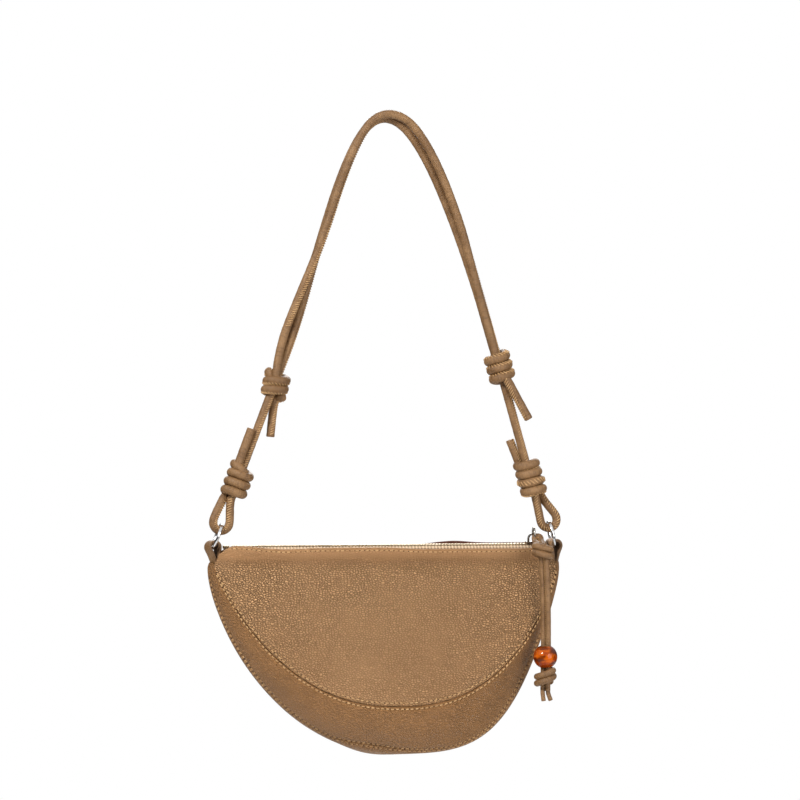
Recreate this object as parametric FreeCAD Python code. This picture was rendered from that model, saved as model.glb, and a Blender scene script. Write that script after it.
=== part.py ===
import FreeCAD, Part
import math
import os
from FreeCAD import Vector

os.makedirs("parts", exist_ok=True)

# Driving dimensions in millimetres. The origin is the underside of the strap at its top, where the bag hangs.
# X runs to the right, Y to the back, Z up.

# Bag body
zip_drop = 335.5          # hanging point down to the zip line
bag_centre = -2.5         # middle of the bag to the side of the hanging point
half_width = 141.0        # middle of the bag to a tip
tip_drop = 15.0           # zip line down to a tip
body_height = 164.5       # zip line down to the bottom seam
seam_inset = 4.8          # tip in to the upper end of a panel seam
seam_drop = 125.0         # zip line down to the lowest point of a panel seam
seam_depth = 31.0         # middle plane out to a panel seam at its deepest
depth_power = 1.6         # how thin the bag gets towards its tips
mouth_inset = 10.0        # tip in to the end of the mouth
mouth_half_gap = 8.0      # middle plane out to the outer face of a mouth edge
width_power = 0.727       # fullness of the bottom seam sideways
height_power = 1.534      # fullness of the bottom seam downwards
slump = 25.5              # how far the bottom hangs over to the right
slump_power = 2.3
side_shift = -4.5         # how far the bottom seam's flanks sit to the right
seam_width_power = 0.855  # the same for a panel seam
seam_height_power = 1.578
seam_slump = 5.5
seam_side_shift = 6.0
upper_bulge = 5.5
lower_bulge = 6.0
tip_bulge = 0.8
leather = 1.6
seam_gap = 0.4            # groove between two panels
lining = 0.6
lining_gap = 0.6          # between leather and lining
lining_start = 12.0       # mouth edge down to the lining's edge
lining_end_angle = 14.0   # degrees left out at either tip
section_count = 15

# Zip
tape = 0.7
tape_gap = 0.3            # between tape and leather
tape_flange = 8.0         # tape that runs down behind the leather
tape_inset = 2.0          # end of the mouth in to the end of a tape
tooth_pitch = 2.5
tooth_thickness = 1.1
tooth_height = 2.6
tooth_reach = 0.9         # past the middle plane
tooth_leg = 3.3           # middle plane out to the ends of its legs
tape_edge = 1.9           # middle plane out to the tape's edge between the legs
tooth_play = 0.1
bottom_stop_length = 5.0
top_stop_length = 2.4
slider_inset = 12.0       # end of the mouth in to the slider when the zip is closed
slider_length = 12.6
slider_half_width = 4.6
slider_plate = 1.0
slider_play = 0.35
bridge_bar = 1.4
bridge_width = 2.0
bridge_half_length = 4.6

# Pull
pull_ring_radius = 5.0
pull_ring_wire = 1.6
pull_ring_play = 0.5      # between the pull ring and the back of the bridge
pull_cord = 4.0
pull_forward = 27.4       # middle plane out to the hanging pull
pull_side = 5.5           # slider sideways to the hanging pull
pull_knot_turns = 2.0
pull_knot_drop = 9.0      # zip line down to the middle of the top knot
bead_radius = 9.5
bead_drop = 87.0
pull_tail = 6.0
pull_tail_spread = 20.0   # degrees

# Rings and tabs
ring_inset = 7.5          # tip in to a ring's middle
ring_height = 8.5         # zip line up to a ring's middle
ring_radius = 10.0
ring_wire = 2.6
tab_half_width = 6.0
tab_leather = 1.8
tab_hole_radius = 3.2
tab_base_drop = 13.0
tab_base_inset = 6.5      # tip to the middle of the tab's base

# Strap
cord = 6.4
play = 0.56               # between turns and the strand they are wound on
ring_play = 0.3
loop_radius = 6.4         # middle line of a cord's turn through its ring
loop_play = 0.45          # between that turn and the ring
entry_spread = 0.9        # how much wider than the turns a cord comes in
left_lean = 20.7          # degrees from upright of each lower strand
right_lean = 15.7
left_foot_shift = 0.0     # ring's middle inward to the line of the strand, at the ring's level
right_foot_shift = 4.4
left_ring_lean = 21.0     # degrees from upright of each ring
right_ring_lean = 12.0
left_loop_lean = 8.0      # degrees from upright of each loop through a ring
right_loop_lean = 14.0
left_loop_aim = 28.5      # degrees from upright, ring's middle to the lowest point of its loop
right_loop_aim = 6.6
lower_knot_height = 48.5  # ring's middle to the middle of a lower knot, along the strand
left_upper_height = 129.0
right_upper_height = 137.0
left_lower_turns = 3.0
right_lower_turns = 3.5
left_upper_turns = 2.46
right_upper_turns = 3.31
left_entry_turn = 0.58       # part of a turn from the inner side to where the other cord comes in
right_entry_turn = 0.25
left_lower_tail = 22.5
right_lower_tail = 12.8
left_upper_tail = 22.5
right_upper_tail = 28.5
strand_offset = 3.9       # middle plane out to either strand of the arch

# Route of each cord over the arch, from its own side to the other side
left_cord_route = [
    (-55.0, -97.0), (-34.5, -33.0), (-14.0, 3.2), (9.0, 3.2), (31.0, -27.0), (53.5, -80.0),
]
right_cord_route = [
    (57.5, -80.0), (37.0, -27.0), (14.0, 6.6), (-13.0, 6.6), (-34.0, -33.0), (-54.0, -97.0),
]
left_straight_top = -160.0   # level where the left strand leaves its straight run
right_straight_top = -112.0
end_run = 20.0            # straight end of a cord over a sliding knot
end_reach = 35.0          # knot entry up to the last corner of a cord's route

# Derived sizes
seam_half_width = half_width - seam_inset
mouth_half_length = half_width - mouth_inset
tape_half_length = mouth_half_length - tape_inset
slider_place = mouth_half_length - slider_inset
ring_half_spacing = half_width - ring_inset
zip_level = -zip_drop
ring_level = zip_level + ring_height
pitch = cord + play
coil_radius = cord + play
pull_pitch = pull_cord + play
pull_half_spacing = pull_cord / 2 + 0.15
pull_coil_radius = pull_half_spacing + pull_cord + 0.3
slider_top = tooth_height / 2 + slider_play + slider_plate
pull_ring_lift = ring_play + pull_ring_wire / 2 + pull_ring_radius
bridge_rise = pull_ring_lift - bridge_bar / 2
front = -1.0
back = 1.0


def export(shape, name):
    shape.exportStep("parts/" + name + ".step")


def bag_point(x, y, z):
    return Vector(bag_centre + x, y, zip_level + z)


# Straight runs and arcs

def arc_from_tangent(start, tangent, end):
    chord = end - start
    along = chord.dot(tangent)
    across = chord - tangent * along
    if across.Length < 1e-6:
        return Part.LineSegment(start, end).toShape()
    side = Vector(across).normalize()
    radius = chord.dot(chord) / (2.0 * across.Length)
    centre = start + side * radius
    sweep = 2.0 * math.atan2(across.Length, along)
    half = sweep / 2.0
    middle = centre - side * (radius * math.cos(half)) + tangent * (radius * math.sin(half))
    return Part.Arc(start, middle, end).toShape()


def biarc(start, start_direction, end, end_direction):
    first = Vector(start_direction).normalize()
    last = Vector(end_direction).normalize()
    gap = end - start
    total = first + last
    a = 2.0 * (first.dot(last) - 1.0)
    b = -2.0 * gap.dot(total)
    c = gap.dot(gap)
    if abs(a) < 1e-9:
        reach = -c / b
    else:
        reach = (-b - math.sqrt(b * b - 4.0 * a * c)) / (2.0 * a)
    join = (start + first * reach + end - last * reach) * 0.5
    back_edge = arc_from_tangent(end, last * -1.0, join)
    return [arc_from_tangent(start, first, join), back_edge]


def rounded_run(points):
    """Straight runs between points, with a tangent arc at each corner."""
    edges = []
    here = points[0]
    for i in range(1, len(points) - 1):
        before = points[i] - points[i - 1]
        after = points[i + 1] - points[i]
        turn = before.getAngle(after)
        radius = 0.45 * min(before.Length, after.Length) / math.tan(turn / 2.0)
        cut = radius * math.tan(turn / 2.0)
        into = Vector(before).normalize()
        away = Vector(after).normalize()
        arc_start = points[i] - into * cut
        arc_end = points[i] + away * cut
        inward = (away - into).normalize()
        centre = points[i] + inward * (radius / math.cos(turn / 2.0))
        edges.append(Part.LineSegment(here, arc_start).toShape())
        edges.append(Part.Arc(arc_start, centre - inward * radius, arc_end).toShape())
        print("  corner", i, "turn", round(math.degrees(turn), 1), "radius", round(radius, 1))
        here = arc_end
    edges.append(Part.LineSegment(here, points[-1]).toShape())
    return edges


def tube(edges, start, direction, diameter, name):
    """One unbroken round tube along a path of lines and arcs."""
    path = Part.Wire(Part.__sortEdges__(edges))
    ring = Part.makeCircle(diameter / 2.0, start, direction)
    shape = path.makePipeShell([Part.Wire(ring)], True, False)
    expected = math.pi * diameter * diameter / 4.0 * path.Length
    print(name, "length", round(path.Length, 1), "volume", round(shape.Volume), "section x length", round(expected))
    return shape


def self_gap(path_edges, diameter, name):
    """Least gap of a wound tube to itself, measured between points of its middle line."""
    points = []
    travelled = []
    run = 0.0
    for edge in Part.__sortEdges__(path_edges):
        count = max(3, int(edge.Length))
        for point in edge.discretize(count)[:-1]:
            if points:
                run += (point - points[-1]).Length
            points.append(point)
            travelled.append(run)
    least = 1e9
    for i in range(len(points)):
        for j in range(i + 1, len(points)):
            if travelled[j] - travelled[i] > 2.6 * diameter:
                least = min(least, (points[j] - points[i]).Length)
    print(name, "least gap to itself", round(least - diameter, 2))


# The leather body

def outline(angle, half, top, depth, powers, hang, shift):
    cosine = math.cos(angle)
    x = half * math.copysign(abs(cosine) ** powers[0], cosine)
    z = -top - (depth - top) * math.sin(angle) ** powers[1]
    return x + hang * (-z / body_height) ** slump_power + shift * math.sin(angle), z


def mouth_point(angle):
    return bag_point(mouth_half_length * math.cos(angle), -mouth_half_gap, 0)


def seam_point(angle):
    powers = (seam_width_power, seam_height_power)
    x, z = outline(angle, seam_half_width, tip_drop + 1.0, seam_drop, powers, seam_slump, seam_side_shift)
    depth = mouth_half_gap + (seam_depth - mouth_half_gap) * math.sin(angle) ** depth_power
    return bag_point(x, -depth, z)


def bottom_point(angle):
    x, z = outline(angle, half_width, tip_drop, body_height, (width_power, height_power), slump, side_shift)
    return bag_point(x, 0, z)


def arc_frame(start, end, outward, bulge):
    """Middle, radius, two directions and sweep of the arc from start to end that bulges outward."""
    chord = end - start
    along = Vector(chord).normalize()
    away = (outward - along * outward.dot(along)).normalize()
    half = chord.Length / 2.0
    radius = (half * half + bulge * bulge) / (2.0 * bulge)
    centre = (start + end) * 0.5 - away * (radius - bulge)
    first = (start - centre).normalize()
    sweep = 2.0 * math.asin(min(1.0, half / radius))
    normal = along.cross(away) * -1.0
    second = normal.cross(first)
    if second.dot(along) < 0:
        second = second * -1.0
    return centre, radius, first, second, sweep


def skin_section(frame, from_start, from_end, outer, inner):
    """Closed section of a skin between two depths under an arc, shortened at either end."""
    centre, radius, first, second, sweep = frame
    low = from_start / radius
    high = sweep - from_end / radius

    def at(turn, depth):
        return centre + (first * math.cos(turn) + second * math.sin(turn)) * (radius - depth)

    middle = (low + high) / 2.0
    edges = [
        Part.Arc(at(low, outer), at(middle, outer), at(high, outer)).toShape(),
        Part.LineSegment(at(high, outer), at(high, inner)).toShape(),
        Part.Arc(at(high, inner), at(middle, inner), at(low, inner)).toShape(),
        Part.LineSegment(at(low, inner), at(low, outer)).toShape(),
    ]
    return Part.Wire(edges)


def upper_frame(angle):
    bulge = tip_bulge + upper_bulge * math.sin(angle) ** 1.2
    return arc_frame(mouth_point(angle), seam_point(angle), Vector(0, -1, 0), bulge)


def lower_frame(angle):
    bulge = tip_bulge + lower_bulge * math.sin(angle)
    outward = Vector(0.4 * math.cos(angle), -0.6, -math.sin(angle))
    return arc_frame(seam_point(angle), bottom_point(angle), outward, bulge)


def front_of_middle():
    size = 4.0 * half_width
    corner = Vector(-size / 2.0, -size - seam_gap / 2.0, -zip_drop - size / 2.0)
    return Part.makeBox(size, size, size, corner)


def skin(frame_of, from_start, from_end, outer, inner, first_angle):
    sections = []
    for i in range(section_count):
        degrees = first_angle + (180.0 - 2.0 * first_angle) * i / (section_count - 1)
        sections.append(skin_section(frame_of(math.radians(degrees)), from_start, from_end, outer, inner))
    return Part.makeLoft(sections, True, False)


def upper_panel():
    return skin(upper_frame, 0.0, seam_gap / 2.0, 0.0, leather, 0.0)


def lower_panel():
    whole = skin(lower_frame, seam_gap / 2.0, 0.0, 0.0, leather, 0.0)
    return whole.common(front_of_middle())


def lining_half():
    outer = leather + lining_gap
    inner = outer + lining
    upper = skin(upper_frame, lining_start, 0.0, outer, inner, lining_end_angle)
    lower = skin(lower_frame, 0.0, 0.0, outer, inner, lining_end_angle).common(front_of_middle())
    return upper.fuse(lower)


def to_back(shape):
    return shape.mirror(Vector(0, 0, 0), Vector(0, 1, 0))


# Zip

def flat_profile(points, x, length):
    """Closed outline in Y and Z, run along X."""
    corners = [bag_point(x, y, z) for y, z in points]
    wire = Part.makePolygon(corners + [corners[0]])
    return Part.Face(wire).extrude(Vector(length, 0, 0))


def zip_tape():
    outer = -(mouth_half_gap - leather - tape_gap)
    half = tape / 2.0
    points = [
        (-tape_edge, half), (outer, half), (outer, -tape_flange), (outer + tape, -tape_flange),
        (outer + tape, -half), (-tape_edge, -half),
    ]
    return flat_profile(points, -tape_half_length, 2.0 * tape_half_length)


def tooth(x):
    high = tooth_height / 2.0
    slot = tape / 2.0 + tooth_play
    root = -(tape_edge - tooth_play)
    points = [
        (-tooth_leg, slot), (-tooth_leg, high), (tooth_reach - 0.6, high), (tooth_reach, high - 0.6),
        (tooth_reach, 0.6 - high), (tooth_reach - 0.6, -high), (-tooth_leg, -high), (-tooth_leg, -slot),
        (root, -slot), (root, slot),
    ]
    return flat_profile(points, x - tooth_thickness / 2.0, tooth_thickness)


teeth_left = -tape_half_length + bottom_stop_length + 1.0
teeth_right = slider_place - 0.5
tooth_count = int((teeth_right - teeth_left) / tooth_pitch)


def front_teeth():
    return Part.makeCompound([tooth(teeth_left + (i + 0.5) * tooth_pitch) for i in range(tooth_count)])


def back_teeth():
    return Part.makeCompound([to_back(tooth(teeth_left + (i + 1.0) * tooth_pitch)) for i in range(tooth_count)])


def bottom_stop():
    outer = tooth_leg
    block = Part.makeBox(bottom_stop_length, 2.0 * outer, tooth_height)
    block.translate(bag_point(-tape_half_length, -outer, -tooth_height / 2.0))
    block = block.makeFillet(0.6, block.Edges)
    slot = tape + 2.0 * tooth_play
    side = outer - tape_edge + tooth_play
    for y in (-outer, outer - side):
        groove = Part.makeBox(bottom_stop_length, side, slot)
        groove.translate(bag_point(-tape_half_length, y, -slot / 2.0))
        block = block.cut(groove)
    return block


def top_stops():
    """A small clamp on either tape, past the slider."""
    x = slider_place + slider_length / 2.0 - top_stop_length - 0.6
    high = tooth_height / 2.0
    slot = tape / 2.0 + tooth_play
    inside = tape_edge - tooth_play - 0.5
    points = [
        (-tooth_leg, slot), (-tooth_leg, high), (-inside, high), (-inside, -high), (-tooth_leg, -high),
        (-tooth_leg, -slot), (-tape_edge + tooth_play, -slot), (-tape_edge + tooth_play, slot),
    ]
    stop = flat_profile(points, x, top_stop_length)
    return Part.makeCompound([stop, to_back(stop)])


def slider():
    """Two plates on a wedge, with rails beside the teeth and a bridge for the pull ring."""
    half = slider_length / 2.0
    inner = tooth_height / 2.0 + slider_play
    narrow = slider_half_width - 0.6
    plan = [
        (-half + 1.2, -narrow), (half - 3.0, -slider_half_width), (half, -slider_half_width + 1.4),
        (half, slider_half_width - 1.4), (half - 3.0, slider_half_width), (-half + 1.2, narrow),
        (-half, narrow - 1.4), (-half, 1.4 - narrow),
    ]

    def plate(z, thickness, outline_points):
        corners = [bag_point(slider_place + x, y, z) for x, y in outline_points]
        return Part.Face(Part.makePolygon(corners + [corners[0]])).extrude(Vector(0, 0, thickness))

    body = plate(inner, slider_plate, plan)
    body = body.fuse(plate(-inner - slider_plate, slider_plate, plan))
    wedge = [(half - 5.6, 0), (half - 4.2, -0.8), (half - 3.8, 0), (half - 4.2, 0.8)]
    body = body.fuse(plate(-inner, 2.0 * inner, wedge))
    rail_inner = tooth_leg + slider_play
    rail_height = inner - tape / 2.0 - slider_play
    for side in (front, back):
        rail = [
            (-half + 1.6, side * rail_inner), (half - 3.2, side * rail_inner),
            (half - 3.2, side * (rail_inner + 0.55)), (-half + 1.6, side * (rail_inner + 0.35)),
        ]
        body = body.fuse(plate(inner - rail_height, rail_height, rail))
        body = body.fuse(plate(-inner, rail_height, rail))
    return body.fuse(bridge()).removeSplitter()


def bridge():
    """Arched bar over the slider, open to front and back."""
    foot = slider_top - 0.3
    top = slider_top + bridge_rise
    wide = bridge_half_length
    thin = bridge_half_length - bridge_bar

    def arch(half, height):
        points = [
            bag_point(slider_place - half, -bridge_width / 2.0, foot),
            bag_point(slider_place - half, -bridge_width / 2.0, height - half),
            bag_point(slider_place, -bridge_width / 2.0, height),
            bag_point(slider_place + half, -bridge_width / 2.0, height - half),
            bag_point(slider_place + half, -bridge_width / 2.0, foot),
        ]
        edges = [
            Part.LineSegment(points[0], points[1]).toShape(),
            Part.Arc(points[1], points[2], points[3]).toShape(),
            Part.LineSegment(points[3], points[4]).toShape(),
            Part.LineSegment(points[4], points[0]).toShape(),
        ]
        return Part.Face(Part.Wire(edges)).extrude(Vector(0, bridge_width, 0))

    return arch(wide, top + bridge_bar).cut(arch(thin, top))


# Pull

pull_ring_forward = pull_ring_radius - pull_ring_wire / 2.0 - bridge_width / 2.0 - pull_ring_play
pull_ring_middle = bag_point(slider_place, -pull_ring_forward, slider_top + pull_ring_lift)


def pull_ring():
    return Part.makeTorus(pull_ring_radius, pull_ring_wire / 2.0, pull_ring_middle, Vector(1, 0, 0))


def pull_loop_place():
    """Middle of the cord's turn through the pull ring and the way it points."""
    slope = Vector(0, 1, 1).normalize()
    reach = pull_ring_radius - pull_ring_wire / 2.0 - pull_cord / 2.0 - ring_play
    top = pull_ring_middle - slope * reach
    return top - slope * pull_cord, slope


def pull_axis(z):
    return bag_point(slider_place + pull_side, -pull_forward, z)


def pull_bottom():
    return bead_drop + bead_radius + 0.6 + pull_pitch * pull_knot_turns + 2.0 * pull_cord


def pull_strands():
    """Doubled cord from the lower knot up through the pull ring and down again."""
    middle, slope = pull_loop_place()
    edges = []
    sideways = Vector(1, 0, 0)
    up = Vector(0, 0, 1)
    low = -pull_bottom()
    high = -pull_knot_drop + 2.0
    apart = sideways * pull_half_spacing
    wide = sideways * pull_cord
    apex = middle + slope * pull_cord
    edges.append(Part.LineSegment(pull_axis(low) - apart, pull_axis(high) - apart).toShape())
    edges += biarc(pull_axis(high) - apart, up, middle - wide, slope)
    edges.append(arc_from_tangent(middle - wide, slope, apex))
    edges.append(arc_from_tangent(apex, sideways, middle + wide))
    edges += biarc(middle + wide, slope * -1.0, pull_axis(high) + apart, up * -1.0)
    edges.append(Part.LineSegment(pull_axis(high) + apart, pull_axis(low) + apart).toShape())
    return tube(edges, pull_axis(low) - apart, up, pull_cord, "pull_strands")


def round_coil(middle, turns, name):
    """Turns of pull cord round both strands, with straight ends."""
    quarter = 4.0 * turns
    steps = int(round(quarter))

    def at(turn):
        angle = math.radians(90.0 * turn)
        rise = pull_pitch * (turn - steps / 2.0) / 4.0
        return middle + Vector(pull_coil_radius * math.cos(angle), pull_coil_radius * math.sin(angle), rise)

    def heading(turn):
        angle = math.radians(90.0 * turn)
        flat = pull_coil_radius * math.pi / 2.0
        return Vector(-flat * math.sin(angle), flat * math.cos(angle), pull_pitch / 4.0).normalize()

    first = at(0) - heading(0) * (0.55 * pull_cord)
    last = at(steps) + heading(steps) * (0.55 * pull_cord)
    edges = [Part.LineSegment(first, at(0)).toShape()]
    for i in range(steps):
        edges += biarc(at(i), heading(i), at(i + 1), heading(i + 1))
    edges.append(Part.LineSegment(at(steps), last).toShape())
    self_gap(edges, pull_cord, name)
    return tube(edges, first, heading(0), pull_cord, name)


def pull_top_knot():
    return round_coil(pull_axis(-pull_knot_drop), pull_knot_turns, "pull_top_knot")


lower_pull_knot_drop = bead_drop + bead_radius + 0.4 + pull_cord / 2.0 + pull_pitch * pull_knot_turns / 2.0


def pull_bottom_knot():
    return round_coil(pull_axis(-lower_pull_knot_drop), pull_knot_turns, "pull_bottom_knot")


def pull_bead():
    ball = Part.makeSphere(bead_radius, pull_axis(-bead_drop))
    bore_radius = pull_half_spacing + pull_cord / 2.0 + ring_play
    bore = Part.makeCylinder(bore_radius, 4.0 * bead_radius, pull_axis(-bead_drop - 2.0 * bead_radius))
    return ball.cut(bore)


def pull_tails():
    solids = []
    for side in (-1.0, 1.0):
        top = pull_axis(-pull_bottom()) + Vector(side * pull_half_spacing, 0, 0)
        spread = math.radians(pull_tail_spread)
        way = Vector(side * math.sin(spread), 0, -math.cos(spread))
        bend = top + Vector(0, 0, -pull_cord / 2.0)
        end = bend + way * pull_tail
        solids.append(tube(rounded_run([top, bend, end]), top, Vector(0, 0, -1), pull_cord, "pull_tail"))
    return Part.makeCompound(solids)


# Rings, tabs and the line of each side's strand

class Side:
    """One side of the strap: the ring, the line of its strand and the loop through the ring."""

    def __init__(self, sign, lean, foot_shift, ring_lean, loop_lean, loop_aim):
        self.sign = sign
        self.ring = bag_point(sign * ring_half_spacing, 0, ring_height)
        self.foot = self.ring - Vector(sign * foot_shift, 0, 0)
        self.up, self.inward = self.leaning(lean)
        self.ring_up, self.ring_inward = self.leaning(ring_lean)
        self.loop_up, self.loop_inward = self.leaning(loop_lean)
        self.loop_low = self.ring + self.leaning(loop_aim)[0] * loop_start

    def leaning(self, lean):
        """Way up and way inward at a lean from upright."""
        angle = math.radians(lean)
        up = Vector(-self.sign * math.sin(angle), 0, math.cos(angle))
        return up, Vector(-self.sign * math.cos(angle), 0, -math.sin(angle))

    def on_strand(self, distance):
        return self.foot + self.up * distance

    def at_level(self, z):
        return self.foot + self.up * ((z - self.foot.z) / self.up.z)


loop_start = ring_radius - ring_wire / 2.0 - cord / 2.0 - loop_play
left = Side(-1.0, left_lean, left_foot_shift, left_ring_lean, left_loop_lean, left_loop_aim)
right = Side(1.0, right_lean, right_foot_shift, right_ring_lean, right_loop_lean, right_loop_aim)


def strap_ring(side):
    return Part.makeTorus(ring_radius, ring_wire / 2.0, side.ring, side.ring_inward)


def end_tab(side):
    """Strip of leather folded over the ring's lower wire and sewn into the end of the bag."""
    rise = ring_radius - math.sqrt(ring_radius ** 2 - tab_half_width ** 2)
    hole = side.ring - side.ring_up * (ring_radius - rise / 2.0)
    base = bag_point(side.sign * (half_width - tab_base_inset), 0, -tab_base_drop)
    forward = Vector(0, -tab_half_width, 0)
    axis = (hole - base).normalize()
    across = axis.cross(Vector(0, 1, 0))

    def teardrop(radius, foot, foot_half):
        points = [
            foot + across * foot_half, hole + across * radius, hole + axis * radius, hole - across * radius,
            foot - across * foot_half,
        ]
        points = [point + forward for point in points]
        edges = [
            Part.LineSegment(points[0], points[1]).toShape(),
            Part.Arc(points[1], points[2], points[3]).toShape(),
            Part.LineSegment(points[3], points[4]).toShape(),
            Part.LineSegment(points[4], points[0]).toShape(),
        ]
        return Part.Face(Part.Wire(edges)).extrude(Vector(0, 2.0 * tab_half_width, 0))

    outer = teardrop(tab_hole_radius + tab_leather, base, tab_leather + 0.1)
    inner = teardrop(tab_hole_radius, base + axis * 4.0, 0.2)
    return outer.cut(inner)


# Strap cords and knots

backward = Vector(0, 1, 0)


def coil_station(side, middle, turn, rising):
    """Point and heading on the turns, counted in whole turns from the inner side."""
    angle = 2.0 * math.pi * turn
    flat = side.inward * math.cos(angle) + backward * math.sin(angle)
    round_way = side.inward * -math.sin(angle) + backward * math.cos(angle)
    point = middle + flat * coil_radius + side.up * (rising * pitch * turn)
    heading = round_way * (2.0 * math.pi * coil_radius) + side.up * (rising * pitch)
    return point, heading.normalize()


def wound_edges(side, middle, entry, entry_way, first_turn, turns, rising, tail_way, tail_length):
    """From a straight entry into the turns, round them and out to a straight tail."""
    steps = math.ceil(4.0 * turns)
    step = turns / steps
    point, heading = coil_station(side, middle, first_turn + step, rising)
    edges = biarc(entry, entry_way, point, heading)
    for i in range(2, steps + 1):
        following, next_heading = coil_station(side, middle, first_turn + step * i, rising)
        edges += biarc(point, heading, following, next_heading)
        point, heading = following, next_heading
    tail_base = point + heading * (1.05 * cord) + side.up * (rising * 1.35 * cord)
    edges += biarc(point, heading, tail_base, tail_way)
    edges.append(Part.LineSegment(tail_base, tail_base + tail_way * tail_length).toShape())
    return edges


def cord_start():
    """Distance along the strand where the cord meets the straight end of its ring loop."""
    return lower_knot_height - pitch * max(left_lower_turns, right_lower_turns) / 2.0 - 1.0


def lower_knot(side, turns, tail_way, tail_length, name):
    """Loop through the ring, turns round the standing strand and a tail that points up."""
    up = side.up
    down = up * -1.0
    start = side.on_strand(cord_start())
    begin = start - up * cord
    loop_down = side.loop_up * -1.0
    turn_middle = side.loop_low + side.loop_up * loop_radius
    inner_leg = turn_middle + side.loop_inward * loop_radius
    outer_leg = turn_middle - side.loop_inward * loop_radius
    coil_foot = side.on_strand(lower_knot_height - pitch * turns / 2.0)
    entry = coil_foot - side.inward * (coil_radius + entry_spread) - up * (1.5 * cord)
    first_turn = 0.5
    middle = coil_foot - up * (pitch * first_turn)
    edges = [Part.LineSegment(start, begin).toShape()]
    edges += biarc(begin, down, inner_leg, loop_down)
    edges.append(arc_from_tangent(inner_leg, loop_down, side.loop_low))
    edges.append(arc_from_tangent(side.loop_low, side.loop_inward * -1.0, outer_leg))
    edges += biarc(outer_leg, side.loop_up, entry, up)
    edges += wound_edges(side, middle, entry, up, first_turn, turns, 1.0, tail_way, tail_length)
    self_gap(edges, cord, name)
    return tube(edges, start, down, cord, name)


def upper_knot_top(side, height, turns):
    return side.on_strand(height + pitch * turns / 2.0)


def upper_entry(side, height, turns, first_turn):
    """Start of the straight cord, one diameter long, that goes into the turns of an upper knot."""
    angle = 2.0 * math.pi * first_turn
    flat = side.inward * math.cos(angle) + backward * math.sin(angle)
    return upper_knot_top(side, height, turns) + flat * (coil_radius + entry_spread) + side.up * (2.5 * cord)


def upper_knot(side, height, turns, first_turn, tail_way, tail_length, name):
    """Turns of the other cord round this side's strand, and a tail that points down."""
    down = side.up * -1.0
    start = upper_entry(side, height, turns, first_turn)
    entry = start - side.up * cord
    middle = upper_knot_top(side, height, turns) + side.up * (pitch * first_turn)
    edges = [Part.LineSegment(start, entry).toShape()]
    edges += wound_edges(side, middle, entry, down, first_turn, turns, -1.0, tail_way, tail_length)
    self_gap(edges, cord, name)
    return tube(edges, start, down, cord, name)


left_entry = upper_entry(left, left_upper_height, left_upper_turns, left_entry_turn)
right_entry = upper_entry(right, right_upper_height, right_upper_turns, right_entry_turn)


def strap_cord(side, straight_top, route, depth, other, entry, name):
    """Standing strand, arch and fall of one cord, down to the straight end over the other side's knot."""
    points = [side.on_strand(cord_start()), side.at_level(straight_top)]
    points += [Vector(x, depth, z) for x, z in route]
    points.append(entry + other.up * end_reach)
    points.append(entry + other.up * end_run)
    print(name)
    return tube(rounded_run(points), points[0], side.up, cord, name)


def cord_end(other, entry):
    return Part.makeCylinder(cord / 2.0, end_run, entry, other.up)


def tail_direction(x, z):
    return Vector(x, 0, z).normalize()


# Build every piece

front_upper = upper_panel()
front_lower = lower_panel()
front_lining = lining_half()
front_tape = zip_tape()
pieces = {
    "front_upper_panel": front_upper,
    "front_lower_panel": front_lower,
    "back_upper_panel": to_back(front_upper),
    "back_lower_panel": to_back(front_lower),
    "front_lining": front_lining,
    "back_lining": to_back(front_lining),
    "zip_tape_front": front_tape,
    "zip_tape_back": to_back(front_tape),
    "zip_teeth_front": front_teeth(),
    "zip_teeth_back": back_teeth(),
    "zip_bottom_stop": bottom_stop(),
    "zip_top_stops": top_stops(),
    "zip_slider": slider(),
    "pull_ring": pull_ring(),
    "pull_strands": pull_strands(),
    "pull_top_knot": pull_top_knot(),
    "pull_bead": pull_bead(),
    "pull_bottom_knot": pull_bottom_knot(),
    "pull_tails": pull_tails(),
    "left_ring": strap_ring(left),
    "right_ring": strap_ring(right),
    "left_tab": end_tab(left),
    "right_tab": end_tab(right),
    "left_lower_knot": lower_knot(left, left_lower_turns, left.up, left_lower_tail, "left_lower_knot"),
    "right_lower_knot": lower_knot(right, right_lower_turns, tail_direction(-0.3, 1.0), right_lower_tail,
                                   "right_lower_knot"),
    "left_upper_knot": upper_knot(left, left_upper_height, left_upper_turns, left_entry_turn,
                                  tail_direction(-0.09, -1.0), left_upper_tail, "left_upper_knot"),
    "right_upper_knot": upper_knot(right, right_upper_height, right_upper_turns, right_entry_turn,
                                   tail_direction(0.485, -0.875), right_upper_tail, "right_upper_knot"),
    "left_cord": strap_cord(left, left_straight_top, left_cord_route, strand_offset, right, right_entry,
                            "left_cord"),
    "right_cord": strap_cord(right, right_straight_top, right_cord_route, -strand_offset, left, left_entry,
                             "right_cord"),
    "left_cord_end": cord_end(right, right_entry),
    "right_cord_end": cord_end(left, left_entry),
}
for name, shape in pieces.items():
    if not shape.isValid():
        print("not valid:", name)
    export(shape, name)
print(len(pieces), "pieces")
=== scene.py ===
# %% [markdown]
# A half moon shoulder bag that hangs from its strap. The rigid pieces, such as the zip's teeth, the
# slider, the rings and the bead, come with the frame at their real size. What a sewer makes, leather,
# cord, thread and cloth, is built here as meshes that sit where the frame says.

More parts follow.
